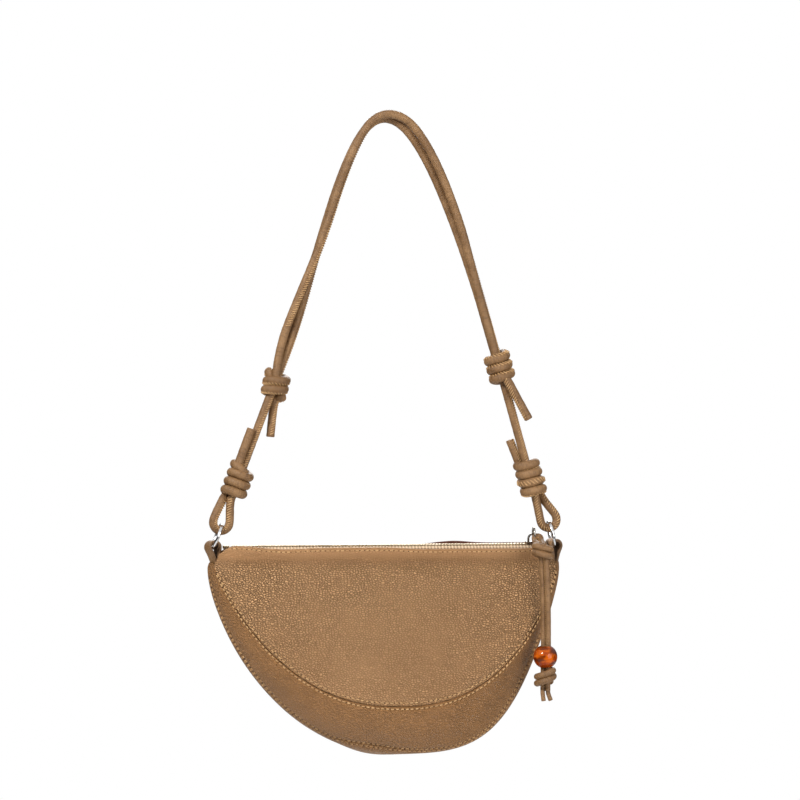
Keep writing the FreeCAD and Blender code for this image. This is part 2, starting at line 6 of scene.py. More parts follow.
# %% Load the fixed frame
import bmesh
import bpy
import math
import numpy as np
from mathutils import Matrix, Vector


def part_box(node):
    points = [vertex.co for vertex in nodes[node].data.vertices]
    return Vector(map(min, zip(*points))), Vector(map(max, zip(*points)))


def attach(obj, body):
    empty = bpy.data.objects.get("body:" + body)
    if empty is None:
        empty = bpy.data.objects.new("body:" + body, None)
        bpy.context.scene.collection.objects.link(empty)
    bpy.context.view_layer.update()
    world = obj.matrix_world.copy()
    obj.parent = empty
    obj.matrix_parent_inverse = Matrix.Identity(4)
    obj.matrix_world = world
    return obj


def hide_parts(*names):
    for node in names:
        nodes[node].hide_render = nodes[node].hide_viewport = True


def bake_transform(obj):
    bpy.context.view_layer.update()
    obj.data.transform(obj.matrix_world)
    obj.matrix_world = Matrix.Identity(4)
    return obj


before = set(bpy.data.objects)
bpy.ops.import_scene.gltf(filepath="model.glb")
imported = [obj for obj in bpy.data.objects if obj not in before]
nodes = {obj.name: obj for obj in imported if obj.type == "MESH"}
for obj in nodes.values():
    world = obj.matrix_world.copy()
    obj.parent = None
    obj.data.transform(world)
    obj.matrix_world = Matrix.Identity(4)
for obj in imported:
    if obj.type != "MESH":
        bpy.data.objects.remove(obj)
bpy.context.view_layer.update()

# %% [markdown]
# A photograph of a product is taken from far away with a long lens, so that near and far parts keep their
# size. The camera could be orthographic, but a real lens gives the faint perspective that a picture has.
# It stands a little to the left and a little above the bag, where it sees more of the left crescent than
# of the right one.

# %% Camera
IMAGE_SIZE = 800
METRES_PER_PIXEL = 0.0007932
HANG_PIXEL = (388, 123)
CAMERA_DISTANCE = 3.2
CAMERA_AZIMUTH = math.radians(-7.0)
CAMERA_ELEVATION = math.radians(1.5)
SENSOR = 36.0


def pixel_to_place(across, down):
    x = (across - HANG_PIXEL[0]) * METRES_PER_PIXEL
    z = (HANG_PIXEL[1] - down) * METRES_PER_PIXEL
    return np.array((x, 0.0, z))


def add(name, data):
    """A new object in the scene."""
    made = bpy.data.objects.new(name, data)
    bpy.context.collection.objects.link(made)
    return made


def make_camera():
    target = pixel_to_place(IMAGE_SIZE / 2, IMAGE_SIZE / 2)
    back = np.array((
        math.sin(CAMERA_AZIMUTH) * math.cos(CAMERA_ELEVATION),
        -math.cos(CAMERA_AZIMUTH) * math.cos(CAMERA_ELEVATION),
        math.sin(CAMERA_ELEVATION),
    ))
    data = bpy.data.cameras.new("camera")
    data.sensor_width = SENSOR
    data.lens = SENSOR * CAMERA_DISTANCE / (IMAGE_SIZE * METRES_PER_PIXEL)
    camera = add("camera", data)
    camera.location = target + back * CAMERA_DISTANCE
    camera.rotation_euler = (math.pi / 2 - CAMERA_ELEVATION, 0, CAMERA_AZIMUTH)
    bpy.context.scene.camera = camera
    return camera


camera = make_camera()
bpy.context.scene.view_settings.view_transform = "Standard"
print("camera lens", round(camera.data.lens, 1), "mm")

# %% [markdown]
# Every finish below is a small tree of nodes. Wiring nodes by hand hides the arithmetic, so one small
# class wraps a socket and lets Python's own operators add the Math nodes. One method makes any other
# node.

# %% A socket that takes part in sums
class Wire:
    def __init__(self, tree, socket=None):
        self.tree = tree
        self.socket = socket

    def node(self, kind, settings=None, inputs=None, output=0):
        """Any node: its settings first, then the values or links of its sockets."""
        made = self.tree.nodes.new(kind)
        for key, value in (settings or {}).items():
            if key == "stops":
                ramp = made.color_ramp.elements
                while len(ramp) < len(value):
                    ramp.new(0.5)
                for stop, (place, colour) in zip(ramp, value):
                    stop.position = place
                    stop.color = colour
            else:
                setattr(made, key, value)
        for key, value in (inputs or {}).items():
            if isinstance(value, Wire):
                self.tree.links.new(value.socket, made.inputs[key])
            else:
                made.inputs[key].default_value = value
        return Wire(self.tree, made.outputs[output] if len(made.outputs) else None)

    def sum(self, operation, *values):
        return self.node("ShaderNodeMath", {"operation": operation}, dict(enumerate(values)))

    def __add__(self, other):
        return self.sum("ADD", self, other)

    __radd__ = __add__

    def __rsub__(self, other):
        return self.sum("SUBTRACT", other, self)

    def __mul__(self, other):
        return self.sum("MULTIPLY", self, other)

    __rmul__ = __mul__

    def between(self, low, high):
        """0 below low, 1 above high and smooth in between."""
        inputs = {"Value": self, "From Min": low, "From Max": high}
        return self.node("ShaderNodeMapRange", {"interpolation_type": "SMOOTHSTEP"}, inputs)

    def place(self, kind="Object"):
        return self.node("ShaderNodeTexCoord", output=kind)

    def stretched(self, scale):
        return self.node("ShaderNodeVectorMath", {"operation": "MULTIPLY"}, {0: self, 1: scale})

    def noise(self, scale, detail=2.0, roughness=0.5):
        inputs = {"Vector": self, "Scale": scale, "Detail": detail, "Roughness": roughness}
        return self.node("ShaderNodeTexNoise", None, inputs)

    def cells(self, scale, dimensions="3D"):
        settings = {"feature": "DISTANCE_TO_EDGE", "voronoi_dimensions": dimensions}
        return self.node("ShaderNodeTexVoronoi", settings, {"Vector": self, "Scale": scale})

    def attribute(self, name):
        return self.node("ShaderNodeAttribute", {"attribute_name": name}, output="Fac")

    def mix(self, share, first, second):
        """A colour between two colours."""
        made = self.node("ShaderNodeMix", {"data_type": "RGBA"}, {0: share}, output=2)
        ends = made.socket.node.inputs
        for end, colour in ((ends[6], first), (ends[7], second)):
            if isinstance(colour, Wire):
                self.tree.links.new(colour.socket, end)
            else:
                end.default_value = colour
        return made

    def bump(self, height, strength, distance):
        inputs = {"Height": height, "Strength": strength, "Distance": distance}
        return self.node("ShaderNodeBump", None, inputs)

    def surface(self, **sockets):
        named = {key.replace("_", " "): value for key, value in sockets.items()}
        return self.node("ShaderNodeBsdfPrincipled", None, named)


def finish_of(name, paint):
    made = bpy.data.materials.new(name)
    made.use_nodes = True
    made.node_tree.nodes.clear()
    start = Wire(made.node_tree)
    start.node("ShaderNodeOutputMaterial", None, {"Surface": paint(start)})
    return made


def shade(red, green, blue):
    """A colour written as the eye sees it, 0 to 255, turned into the linear one that a shader takes."""
    channels = [value / 255 for value in (red, green, blue)]
    linear = [c / 12.92 if c <= 0.04045 else ((c + 0.055) / 1.055) ** 2.4 for c in channels]
    return (*linear, 1.0)


print("shade of tan", [round(c, 3) for c in shade(164, 125, 88)])

# %% [markdown]
# The studio is a pale round floor far below the bag, white all round and soft light from large lamps. A
# backdrop mesh would show its edge in some views, so the world itself is white to the camera and to
# glass. Metal that mirrors plain white looks like paper, so gloss sees a room that is dark at eye level
# and bright above. Everything else gets only a plain amount of light from the world.

# %% Studio
FLOOR_LEVEL = -0.76
FLOOR_RADIUS = 0.9
FLOOR_FADE = (0.3, 0.85)
FLOOR_PAINT = (0.86, 0.86, 0.85, 1)
WHITE = (1, 1, 1, 1)
WORLD_LIGHT = 0.2
WORLD_TINT = (1, 0.99, 0.97, 1)
MIRROR_LIGHT = 0.9
ROOM_GREYS = ((0.0, 0.4), (0.40, 0.05), (0.58, 0.08), (0.72, 1.0))
BAG_HEART = (0, 0, -0.40)
LAMPS = {
    "key_lamp": ((-1.0, -1.0, 0.7), 0.35, 27),
    "fill_lamp": ((1.2, -1.6, -0.1), 1.5, 27),
    "back_lamp": ((0.3, 1.6, 0.5), 1.2, 26),
}


def floor_finish(w):
    paint = w.surface(Base_Color=FLOOR_PAINT, Roughness=0.7)
    clear = w.node("ShaderNodeEmission", None, {"Color": WHITE, "Strength": 1.0})
    from_centre = w.node("ShaderNodeVectorMath", {"operation": "LENGTH"}, {0: w.place()}, output="Value")
    return w.node("ShaderNodeMixShader", None, {0: from_centre.between(*FLOOR_FADE), 1: paint, 2: clear})


def make_floor():
    mesh = bpy.data.meshes.new("floor")
    shape = bmesh.new()
    bmesh.ops.create_circle(shape, cap_ends=True, segments=96, radius=FLOOR_RADIUS)
    shape.to_mesh(mesh)
    shape.free()
    floor = add("floor", mesh)
    floor.location.z = FLOOR_LEVEL
    mesh.materials.append(finish_of("pale_floor", floor_finish))


def make_world():
    world = bpy.data.worlds.new("studio")
    bpy.context.scene.world = world
    world.use_nodes = True
    world.node_tree.nodes.clear()
    w = Wire(world.node_tree)
    ray = w.node("ShaderNodeLightPath", output="Is Camera Ray")
    rays = ray.socket.node.outputs
    clear = ray.sum("MAXIMUM", ray, Wire(w.tree, rays["Is Transmission Ray"]))
    split = w.node("ShaderNodeSeparateXYZ", None, {0: w.place("Generated")}, output="Z")
    stops = [(level, (grey, grey, grey, 1)) for level, grey in ROOM_GREYS]
    room = w.node("ShaderNodeValToRGB", {"stops": stops}, {0: split * 0.5 + 0.5})
    white = w.node("ShaderNodeBackground", None, {"Color": WHITE, "Strength": 1.0})
    soft = w.node("ShaderNodeBackground", None, {"Color": WORLD_TINT, "Strength": WORLD_LIGHT})
    mirror = w.node("ShaderNodeBackground", None, {"Color": room, "Strength": MIRROR_LIGHT})
    glossy = Wire(w.tree, rays["Is Glossy Ray"])
    lit = w.node("ShaderNodeMixShader", None, {0: glossy, 1: soft, 2: mirror})
    both = w.node("ShaderNodeMixShader", None, {0: clear, 1: lit, 2: white})
    w.node("ShaderNodeOutputWorld", None, {"Surface": both})


def make_lamp(name, place, aim, size, watts):
    data = bpy.data.lights.new(name, "AREA")
    data.shape = "DISK"
    data.size = size
    data.energy = watts
    lamp = add(name, data)
    lamp.location = place
    way = np.array(aim) - np.array(place)
    tilt = math.atan2(math.hypot(way[0], way[1]), -way[2])
    turn = math.atan2(way[1], way[0]) + math.pi / 2 + math.pi
    lamp.rotation_euler = (tilt, 0, turn)


make_floor()
make_world()
for name, (place, size, watts) in LAMPS.items():
    make_lamp(name, place, BAG_HEART, size, watts)
print("floor at", FLOOR_LEVEL, "m and", len(LAMPS), "soft lamps")

# %% [markdown]
# Leather, cord and cloth are all sheets or tubes of many small faces. Blender's modifiers could thicken
# and bend a flat sheet, but a formula puts each point exactly where the sewn piece is. These helpers turn
# a net of points into a closed mesh, in millimetres first and in metres at the end.

# %% Nets of points into meshes
MM = 0.001
SAME_POINT = 1e-7


def bare_mesh(name, points, faces):
    """A mesh in metres, from points in millimetres."""
    mesh = bpy.data.meshes.new(name)
    mesh.from_pydata((np.asarray(points) * MM).tolist(), [], faces)
    return mesh


def dress(mesh, finish, body, replaced=()):
    """Closes a mesh where its points meet, gives it a finish and sets it on its body."""
    shape = bmesh.new()
    shape.from_mesh(mesh)
    bmesh.ops.remove_doubles(shape, verts=shape.verts, dist=SAME_POINT)
    bmesh.ops.recalc_face_normals(shape, faces=shape.faces)
    shape.to_mesh(mesh)
    shape.free()
    mesh.polygons.foreach_set("use_smooth", [True] * len(mesh.polygons))
    mesh.materials.append(finish)
    piece = add(mesh.name, mesh)
    if body:
        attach(piece, body)
    if replaced:
        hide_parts(*replaced)
    return piece


def put(name, points, faces, finish, body, replaced=()):
    return dress(bare_mesh(name, points, faces), finish, body, replaced)


def net_faces(rows, columns, first=0, flip=False):
    faces = []
    for r in range(rows - 1):
        for c in range(columns - 1):
            a = first + r * columns + c
            quad = (a, a + 1, a + columns + 1, a + columns)
            faces.append(quad[::-1] if flip else quad)
    return faces


def shell(outer, inner):
    """A closed skin between two nets of points, as points and faces."""
    rows, columns = outer.shape[:2]
    count = rows * columns
    points = np.concatenate((outer.reshape(-1, 3), inner.reshape(-1, 3)))
    faces = net_faces(rows, columns) + net_faces(rows, columns, count, True)
    rim = list(range(columns))
    rim += [r * columns + columns - 1 for r in range(1, rows)]
    rim += [(rows - 1) * columns + c for c in range(columns - 2, -1, -1)]
    rim += [r * columns for r in range(rows - 2, 0, -1)]
    for i, here in enumerate(rim):
        following = rim[(i + 1) % len(rim)]
        faces.append((following, here, here + count, following + count))
    return points, faces


def net_normals(net):
    across = np.gradient(net, axis=1)
    down = np.gradient(net, axis=0)
    normal = np.cross(across, down)
    length = np.linalg.norm(normal, axis=2, keepdims=True)
    return normal / np.maximum(length, 1e-9)


print("mesh helpers ready")

# %% [markdown]
# The leather is a soft, full-grain hide: small pebbles with fine creases between them and a low sheen on
# the crowns. The creases are painted deeper, partly the hide's own colour and partly painted shade, and the
# crowns are painted paler as a painted highlight. Pebbles modelled one by one would be millions of faces,
# so they come from cells in the shader, through a Bump node. A surface cuts solid cells into slivers, so
# the upper panels, which are nearly flat, take theirs from the plane of the front. The pebbles fade where
# the hide is stretched over the mouth and low on the panel, and there the colour is painted a little darker
# as
# painted shade. The lower panels, which face down, take a darker copy of the hide with weaker pebbles:
# painted shade.

# %% Leather finishes
HIDE_PALE = shade(236, 185, 132)
HIDE = shade(188, 140, 93)
HIDE_DEEP = shade(106, 71, 38)
# The lower panels take the same hide painted darker: painted shade, as they face down.
SHADED_LOWER_PALE = shade(170, 123, 74)
SHADED_LOWER = shade(158, 112, 65)
SHADED_LOWER_DEEP = shade(118, 82, 48)
EDGE_PAINT = shade(104, 60, 44)
TO_FRONT = (-math.pi / 2, 0, 0)
PEBBLE_STRETCH = (0.8, 1, 1.2)
PEBBLE_WOBBLE = 0.0016
FINE_GRAIN = 1500.0
GRAIN_DEPTH = 0.0034


def hide_finish(pale, middle, deep, grain, pebbles, dimensions):
    def paint(w):
        place = w.place()
        drift = place.noise(9.0, 2.0).between(0.3, 0.7)
        mapping = {"Vector": place, "Rotation": TO_FRONT, "Scale": PEBBLE_STRETCH}
        lying = w.node("ShaderNodeMapping", None, mapping)
        wobble = w.node("ShaderNodeMix", {"data_type": "VECTOR"}, {0: PEBBLE_WOBBLE}, output=1)
        ends = wobble.socket.node.inputs
        w.tree.links.new(lying.socket, ends[4])
        swirl = Wire(w.tree, place.noise(330.0, 1.0).socket.node.outputs["Color"])
        w.tree.links.new(swirl.socket, ends[5])
        crease = wobble.cells(pebbles, dimensions)
        pebble = crease.between(0.0, 0.2)
        crown = crease.between(0.08, 0.32)
        fine = place.cells(FINE_GRAIN).between(0.0, 0.35)
        patch = place.noise(60.0, 2.0).between(0.3, 0.7)
        strength = (0.7 + 0.3 * patch) * (1 - w.attribute("calm")) * grain
        height = (pebble * 0.6 + crown * 0.4) * strength + fine * 0.08
        tone = w.mix(drift * 0.2, middle, pale)
        # the creases are painted deeper: partly the hide's own colour, partly painted shade
        colour = w.mix((1 - pebble) * strength * 0.5, tone, deep)
        # the crowns are painted paler: a painted highlight
        colour = w.mix(crown * strength * 0.7, colour, pale)
        # where the grain is smooth the colour is painted a little darker: painted shade on the top band and
        # low on the panel
        colour = w.mix(w.attribute("calm") * 0.2, colour, deep)
        colour = w.mix(w.attribute("shadow"), colour, deep)
        colour = w.mix(w.attribute("painted_edge"), colour, EDGE_PAINT)
        rough = 0.48 - 0.12 * pebble * strength + 0.05 * drift
        normal = w.bump(height, 1.0, GRAIN_DEPTH)
        return w.surface(Base_Color=colour, Roughness=rough, Normal=normal, Specular_IOR_Level=0.4)

    return paint


bag_finish = hide_finish(HIDE_PALE, HIDE, HIDE_DEEP, 1.0, 560.0, "2D")
bag_leather = finish_of("bag_leather", bag_finish)
# the lower panels' darker copy of the hide is painted shade
shaded_lower_finish = hide_finish(SHADED_LOWER_PALE, SHADED_LOWER, SHADED_LOWER_DEEP, 0.4, 520.0, "3D")
crescent_leather = finish_of("crescent_leather", shaded_lower_finish)
print("leather:", bag_leather.name, crescent_leather.name)

# %% [markdown]
# The body is four panels: an upper one and a crescent on the front, and the same two on the back. Each is
# lofted from the mouth down: an arc from the mouth to the panel seam, and one from there to the bottom
# seam. The formulas are those of the frame's solids. Added here is what soft leather does: a valley under
# the stiff mouth, a puffed edge beside every seam, slow dents, and a bottom seam that is drawn a little
# to the front by the weight behind it.

# %% The body's driving sizes, in millimetres
ZIP_LEVEL = -335.5
BAG_CENTRE = -2.5
HALF_WIDTH = 141.0
TIP_DROP = 15.0
BODY_HEIGHT = 164.5
SEAM_HALF_WIDTH = 136.2
SEAM_DROP = 125.0
SEAM_DEPTH = 31.0
DEPTH_POWER = 1.6
MOUTH_HALF_LENGTH = 131.0
MOUTH_HALF_GAP = 8.0
BOTTOM_CURVE = {"powers": (0.727, 1.534), "slump": 25.5, "shift": -4.5}
SEAM_CURVE = {"powers": (0.855, 1.578), "slump": 5.5, "shift": 6.0}
SLUMP_POWER = 2.3
LEATHER = 1.4
BOTTOM_FORWARD = 12.0
FRONT_DROOP = (122.0, 4.6)
BACK_DROOP = (118.0, 4.8)
FRONT = -1.0
BACK = 1.0


def bag_place(x, y, z):
    return np.stack((BAG_CENTRE + x, y + 0 * x, ZIP_LEVEL + z + 0 * x), axis=-1)


def hump(x, height, middle, width):
    """A soft bell, upward or downward, of a width round its middle."""
    return height * np.exp(-((x - middle) / width) ** 2)


def ramp(x, start, end):
    """0 before start, 1 after end and even in between."""
    return np.clip((x - start) / (end - start), 0, 1)


def unit(vector):
    return vector / np.maximum(np.linalg.norm(vector, axis=-1, keepdims=True), 1e-12)


print("body", 2 * HALF_WIDTH, "mm wide and", BODY_HEIGHT, "mm high below the zip")

# %% [markdown]
# Three lines drive the body: the mouth, the panel seam and the bottom seam. Points traced one by one
# would give the outline too, but here each line is a formula of one angle, from 0 at the right end to
# half a turn at the left end, so that the same columns of points run through all of them. Arcs then join
# one line to the next.

# %% Mouth, seam and bottom lines
def half_moon(angle, half, top, depth, curve):
    cosine = np.cos(angle)
    x = half * np.sign(cosine) * np.abs(cosine) ** curve["powers"][0]
    z = -top - (depth - top) * np.sin(angle) ** curve["powers"][1]
    return x + curve["slump"] * (-z / BODY_HEIGHT) ** SLUMP_POWER + curve["shift"] * np.sin(angle), z


def end_droop(x, droop):
    """How far the mouth sinks near its ends, from a distance off its middle on."""
    start, drop = droop
    return -drop * ramp(np.abs(x), start, MOUTH_HALF_LENGTH) ** 2


def mouth_rise(x, side):
    """How far the mouth's edge stands over the zip line, which droops at its ends."""
    if side == FRONT:
        waves = hump(x, 1.7, -114, 14) + hump(x, -0.9, -78, 16)
        return -0.2 + waves - 1.6 * ramp(x, 2, 28) + end_droop(x, FRONT_DROOP)
    waves = hump(x, 1.5, 56, 15) + hump(x, -0.8, -67, 20)
    return 0.6 + waves + 1.5 * ramp(x, 18, 42) + end_droop(x, BACK_DROOP)


def mouth_line(angle, side):
    x = MOUTH_HALF_LENGTH * np.cos(angle)
    return bag_place(x, side * MOUTH_HALF_GAP, mouth_rise(x, side))


def seam_line(angle, side):
    x, z = half_moon(angle, SEAM_HALF_WIDTH, TIP_DROP + 1, SEAM_DROP, SEAM_CURVE)
    depth = MOUTH_HALF_GAP + (SEAM_DEPTH - MOUTH_HALF_GAP) * np.sin(angle) ** DEPTH_POWER
    return bag_place(x, side * depth, z)


def fullness(angle):
    """Where the back panel hangs full beside the bottom seam, at the lower right."""
    return hump(angle, 1.0, 0.95, 0.42)


def bottom_line(angle):
    """The bottom seam: inside the outline, because the back panel hangs out below and beside it."""
    x, z = half_moon(angle, HALF_WIDTH, TIP_DROP, BODY_HEIGHT, BOTTOM_CURVE)
    lean = np.sin(angle) ** 1.2
    inset = 0.6 + 1.6 * lean + 1.2 * np.clip(np.cos(angle), 0, 1)
    inset = inset + hump(x, 3.6, -12, 24) * (z < -100) + 3.2 * fullness(angle)
    way = unit(np.stack((np.gradient(z), -np.gradient(x)), axis=-1))
    return bag_place(x + inset * way[:, 0], -BOTTOM_FORWARD * lean, z + inset * way[:, 1])


class Arcs:
    """The arcs from one line of points to another, bulging outward, one arc for each point."""

    def __init__(self, start, end, outward, bulge):
        chord = end - start
        half = np.linalg.norm(chord, axis=1) / 2
        along = unit(chord)
        away = unit(outward - along * np.sum(outward * along, axis=1, keepdims=True))
        self.radius = (half ** 2 + bulge ** 2) / (2 * bulge)
        self.centre = (start + end) / 2 - away * (self.radius - bulge)[:, None]
        self.first = unit(start - self.centre)
        side = along - self.first * np.sum(along * self.first, axis=1, keepdims=True)
        self.second = unit(side)
        self.length = self.radius * 2 * np.arcsin(np.minimum(1, half / self.radius))

    def at(self, travelled, lift):
        """Points at a distance along each arc, lifted off it; both are nets of rows by arcs."""
        turn = travelled / self.radius
        ray = self.first * np.cos(turn)[..., None] + self.second * np.sin(turn)[..., None]
        return self.centre + ray * (self.radius + lift)[..., None]


COLUMNS = 281
angles = np.linspace(0, math.pi, COLUMNS)
print("body columns", COLUMNS, "about", round(math.pi * HALF_WIDTH / COLUMNS, 2), "mm apart at the bottom")

# %% [markdown]
# A panel's rows are close together at its two edges, where the leather turns down into a seam, and wide
# apart in the middle. The same function gives a point on the panel at any distance from an edge, so that
# the stitches can be laid on the finished surface afterwards.

# %% Upper panels and crescents as surfaces
EDGE_ROWS = np.array([0, 0.35, 0.7, 1.1, 1.6, 2.2, 2.8, 3.4, 4.2, 5.2, 6.5, 8, 10, 12.5, 15.5, 19])
MIDDLE_ROWS = 44
MOUTH_ROW = 2.8
SEAM_ROW = 2.8
FULL_LENGTH = 60.0
SIDE_STEP = 0.2


def edge_share(length):
    return np.minimum(1, length / FULL_LENGTH)


def row_distances(length):
    """Distances along every arc from its start, dense at both edges."""
    near = EDGE_ROWS[:, None] * edge_share(length)
    far = length - near[::-1]
    share = np.linspace(0, 1, MIDDLE_ROWS + 2)[1:-1, None]
    middle = near[-1] * (1 - share) + far[0] * share
    return np.concatenate((near, middle, far))


def seam_dip(distance):
    """The turned-down edge at a seam, the dent of its stitch row and the puff beyond it."""
    turned = -1.5 * (1 - ramp(distance, 0, 1.5)) ** 2
    return turned + hump(distance, -0.45, SEAM_ROW, 0.75) + hump(distance, 0.75, 7.5, 4.0)


def slow_dents(x, z, seed):
    """A few long waves, as in hide that has been cut, sewn and handled."""
    wave = np.sin(x / 23.0 + 1.7 * seed) * np.sin(z / 31.0 + 0.9 * seed)
    wave = wave + 0.7 * np.sin((x + 0.6 * z) / 17.0 + 2.1 * seed)
    return wave + 0.5 * np.sin((0.5 * x - z) / 12.0 + seed)


def upper_arcs(side):
    bulge = 0.8 + 5.5 * np.sin(angles) ** 1.2
    outward = np.tile((0.0, side, 0.0), (COLUMNS, 1))
    return Arcs(mouth_line(angles, side), seam_line(angles, side), outward, bulge)


def crescent_arcs(side):
    if side == FRONT:
        bulge = 0.8 + 4.6 * np.sin(angles) - 2.8 * fullness(angles)
    else:
        hanging = hump(bottom_line(angles)[:, 0], 1.0, -14, 26) * (np.sin(angles) > 0.7)
        bulge = 2.0 + 15.5 * np.sin(angles) ** 1.2 + 7.5 * hanging + 6.5 * fullness(angles)
    outward = np.stack((0.4 * np.cos(angles), 0.6 * side + 0 * angles, -np.sin(angles)), axis=1)
    return Arcs(seam_line(angles, side), bottom_line(angles), outward, bulge)


def upper_lift(arcs, travelled, seed):
    share = edge_share(arcs.length)
    from_mouth = travelled / share
    from_seam = (arcs.length - travelled) / share
    rolled = -1.0 * (1 - ramp(from_mouth, 0, 1.1)) ** 2
    stitched = hump(from_mouth, -0.5, MOUTH_ROW, 0.9)
    valley = hump(from_mouth, -2.3, 9.0, 4.2)
    crown = hump(from_mouth, 0.9, 22.0, 8.0)
    base = arcs.at(travelled, 0 * travelled)
    inside = ramp(from_mouth, 0, 25) * ramp(from_seam, 0, 20)
    dents = 0.22 * slow_dents(base[..., 0], base[..., 2], seed) * inside
    return (rolled + stitched + valley + crown + seam_dip(from_seam) + dents) * share


def crescent_lift(arcs, travelled, seed):
    share = edge_share(arcs.length)
    from_seam = travelled / share
    from_bottom = (arcs.length - travelled) / share
    base = arcs.at(travelled, 0 * travelled)
    inside = ramp(from_seam, 0, 14) * ramp(from_bottom, 0, 14)
    dents = 0.2 * slow_dents(base[..., 0], base[..., 2], seed + 0.6) * inside
    return (seam_dip(from_seam) + 0.8 * seam_dip(from_bottom) + dents) * share


class Panel:
    """One leather panel: its arcs, how far the leather lifts off them, and its net of outer points."""

    def __init__(self, arcs, lift, seed):
        self.arcs = arcs
        self.lift = lift
        self.seed = seed
        self.net = self.at(row_distances(arcs.length))

    def at(self, travelled):
        return self.arcs.at(travelled, self.lift(self.arcs, travelled, self.seed))

    def row(self, distance, from_end=False):
        """The line of points at a distance from the first edge, or from the last one."""
        travelled = distance * edge_share(self.arcs.length)
        if from_end:
            travelled = self.arcs.length - travelled
        here = self.at(travelled[None, :])[0]
        aside = self.at(travelled[None, :] + SIDE_STEP)[0]
        along = np.gradient(here, axis=0)
        normal = unit(np.cross(along, aside - here))
        outward = unit(here - self.arcs.centre)
        flip = np.sign(np.sum(normal * outward, axis=1, keepdims=True))
        return here, normal * flip


panels = {
    "front_upper_panel": Panel(upper_arcs(FRONT), upper_lift, 0.0),
    "back_upper_panel": Panel(upper_arcs(BACK), upper_lift, 1.3),
    "front_lower_panel": Panel(crescent_arcs(FRONT), crescent_lift, 0.4),
    "back_lower_panel": Panel(crescent_arcs(BACK), crescent_lift, 2.2),
}
for name, panel in panels.items():
    print(name, "rows", panel.net.shape[0], "longest section", round(panel.arcs.length.max(), 1), "mm")

# %% [markdown]
# At either end the front and back panels meet behind the tab. An open end would show the inside of the
# bag, so the net of each panel goes on round the end with a few more columns until it reaches the middle
# plane. The crescents close with a small rounded cap there, which is the puffed tip that shows beside the
# tab.

# %% Closing the ends
END_TURNS = np.linspace(0, 1, 8)[1:]
END_DEPTH = 1.2
END_ROUND = 2.2
TIP_SHIFT = (-0.6, 0, 3.6)
EDGE_PAINT_REACH = 112.0
EDGE_PAINT_DEPTH = 7.4
EDGE_PAINT_DROP = 4.0


def turned_in(column, sign, turn):
    """The end of an upper panel, turned in to the middle plane."""
    moved = column.copy()
    moved[:, 1] *= (1 - turn ** END_ROUND) ** (1 / END_ROUND)
    moved[:, 0] += sign * END_DEPTH * math.sin(turn * math.pi / 2)
    return moved


def drawn_together(column, sign, turn):
    """The end of a crescent, drawn together to one rounded tip."""
    heart = column.mean(axis=0)
    heart[1] = 0
    shift = np.array((sign, 1, 1)) * TIP_SHIFT
    quarter = turn * math.pi / 2
    return heart + (column - heart) * math.cos(quarter) + shift * math.sin(quarter)


def close_ends(net, bend):
    """Adds bent copies of the last column at both ends of a net."""
    ends = []
    for column, sign in ((net[:, 0], 1.0), (net[:, -1], -1.0)):
        ends.append(np.stack([bend(column, sign, turn) for turn in END_TURNS], 1))
    return np.concatenate((ends[0][:, ::-1], net, ends[1]), axis=1)


def paint_points(piece, values):
    for name, value in values.items():
        layer = piece.data.attributes.new(name, "FLOAT", "POINT")
        layer.data.foreach_set("value", np.asarray(value, np.float32))


def panel_paint(piece, upper, side):
    """How smooth the grain is with the painted shade that goes with it, the painted shadow in the valley
    and the edge paint, at every point.
    """
    count = len(piece.data.vertices)
    place = np.empty(count * 3, np.float32)
    piece.data.vertices.foreach_get("co", place)
    place = place.reshape(-1, 3) / MM
    from_mouth = ZIP_LEVEL - place[:, 2]
    from_middle = np.abs(place[:, 0] - BAG_CENTRE)
    calm = np.zeros(count)
    shadow = np.zeros(count)
    edge = np.zeros(count)
    if upper:
        # this mask also darkens the colour in the shader: painted shade, strongest on the top band under
        # the mouth
        top = 0.85 * (1 - ramp(from_mouth, 9, 15))
        low = (0.4 - 0.2 * ramp(from_middle, 40, 110)) * ramp(from_mouth, 38, 88)
        calm = np.maximum(top, low)
        shadow = hump(from_mouth, 0.3, 9.5, 4.0)
        if side == BACK:
            within = (np.abs(place[:, 1]) < EDGE_PAINT_DEPTH) & (from_middle < EDGE_PAINT_REACH)
            edge = within & (from_mouth < EDGE_PAINT_DROP)
    return {"calm": calm, "shadow": shadow, "painted_edge": edge}


def make_panel(name, finish):
    upper = "upper" in name
    side = FRONT if "front" in name else BACK
    net = close_ends(panels[name].net, turned_in if upper else drawn_together)
    outward = net_normals(net)
    if outward[net.shape[0] // 2, net.shape[1] // 2, 1] * side < 0:
        outward = -outward
    inner = net - outward * LEATHER
    points, faces = shell(net, inner)
    piece = put(name + "_leather", points, faces, finish, "bag", (name,))
    paint_points(piece, panel_paint(piece, upper, side))


for name in panels:
    if "upper" in name:
        make_panel(name, bag_leather)
    else:
        make_panel(name, crescent_leather)
print(len(panels), "panels sewn")

# %% [markdown]
# Each seam is pressed open and topstitched on both sides with thick pale thread, about six stitches to the
# inch. A dashed line in the material would look printed, so every stitch is a short bent capsule that dives
# into the leather at its ends. Between it and the next sits a small dark capsule, painted shade for the
# needle hole.

# %% Stitches
STITCH_PITCH = 3.9
STITCH_LENGTH = 2.9
STITCH_SLANT = 0.1
STITCH_SINK = 0.55
THREAD = 0.55
THREAD_SIDES = 7
THREAD_RINGS = 7
HOLE_LENGTH = 0.95
HOLE_RADIUS = 0.36
HOLE_DEPTH = 0.12


def thread_finish(pale, deep):
    def paint(w):
        place = w.place()
        twist = place.noise(2600.0, 1.0)
        colour = w.mix(place.noise(300.0).between(0.3, 0.7), pale, deep)
        return w.surface(Base_Color=colour, Roughness=0.62, Normal=w.bump(twist, 0.4, 0.0002))

    return paint


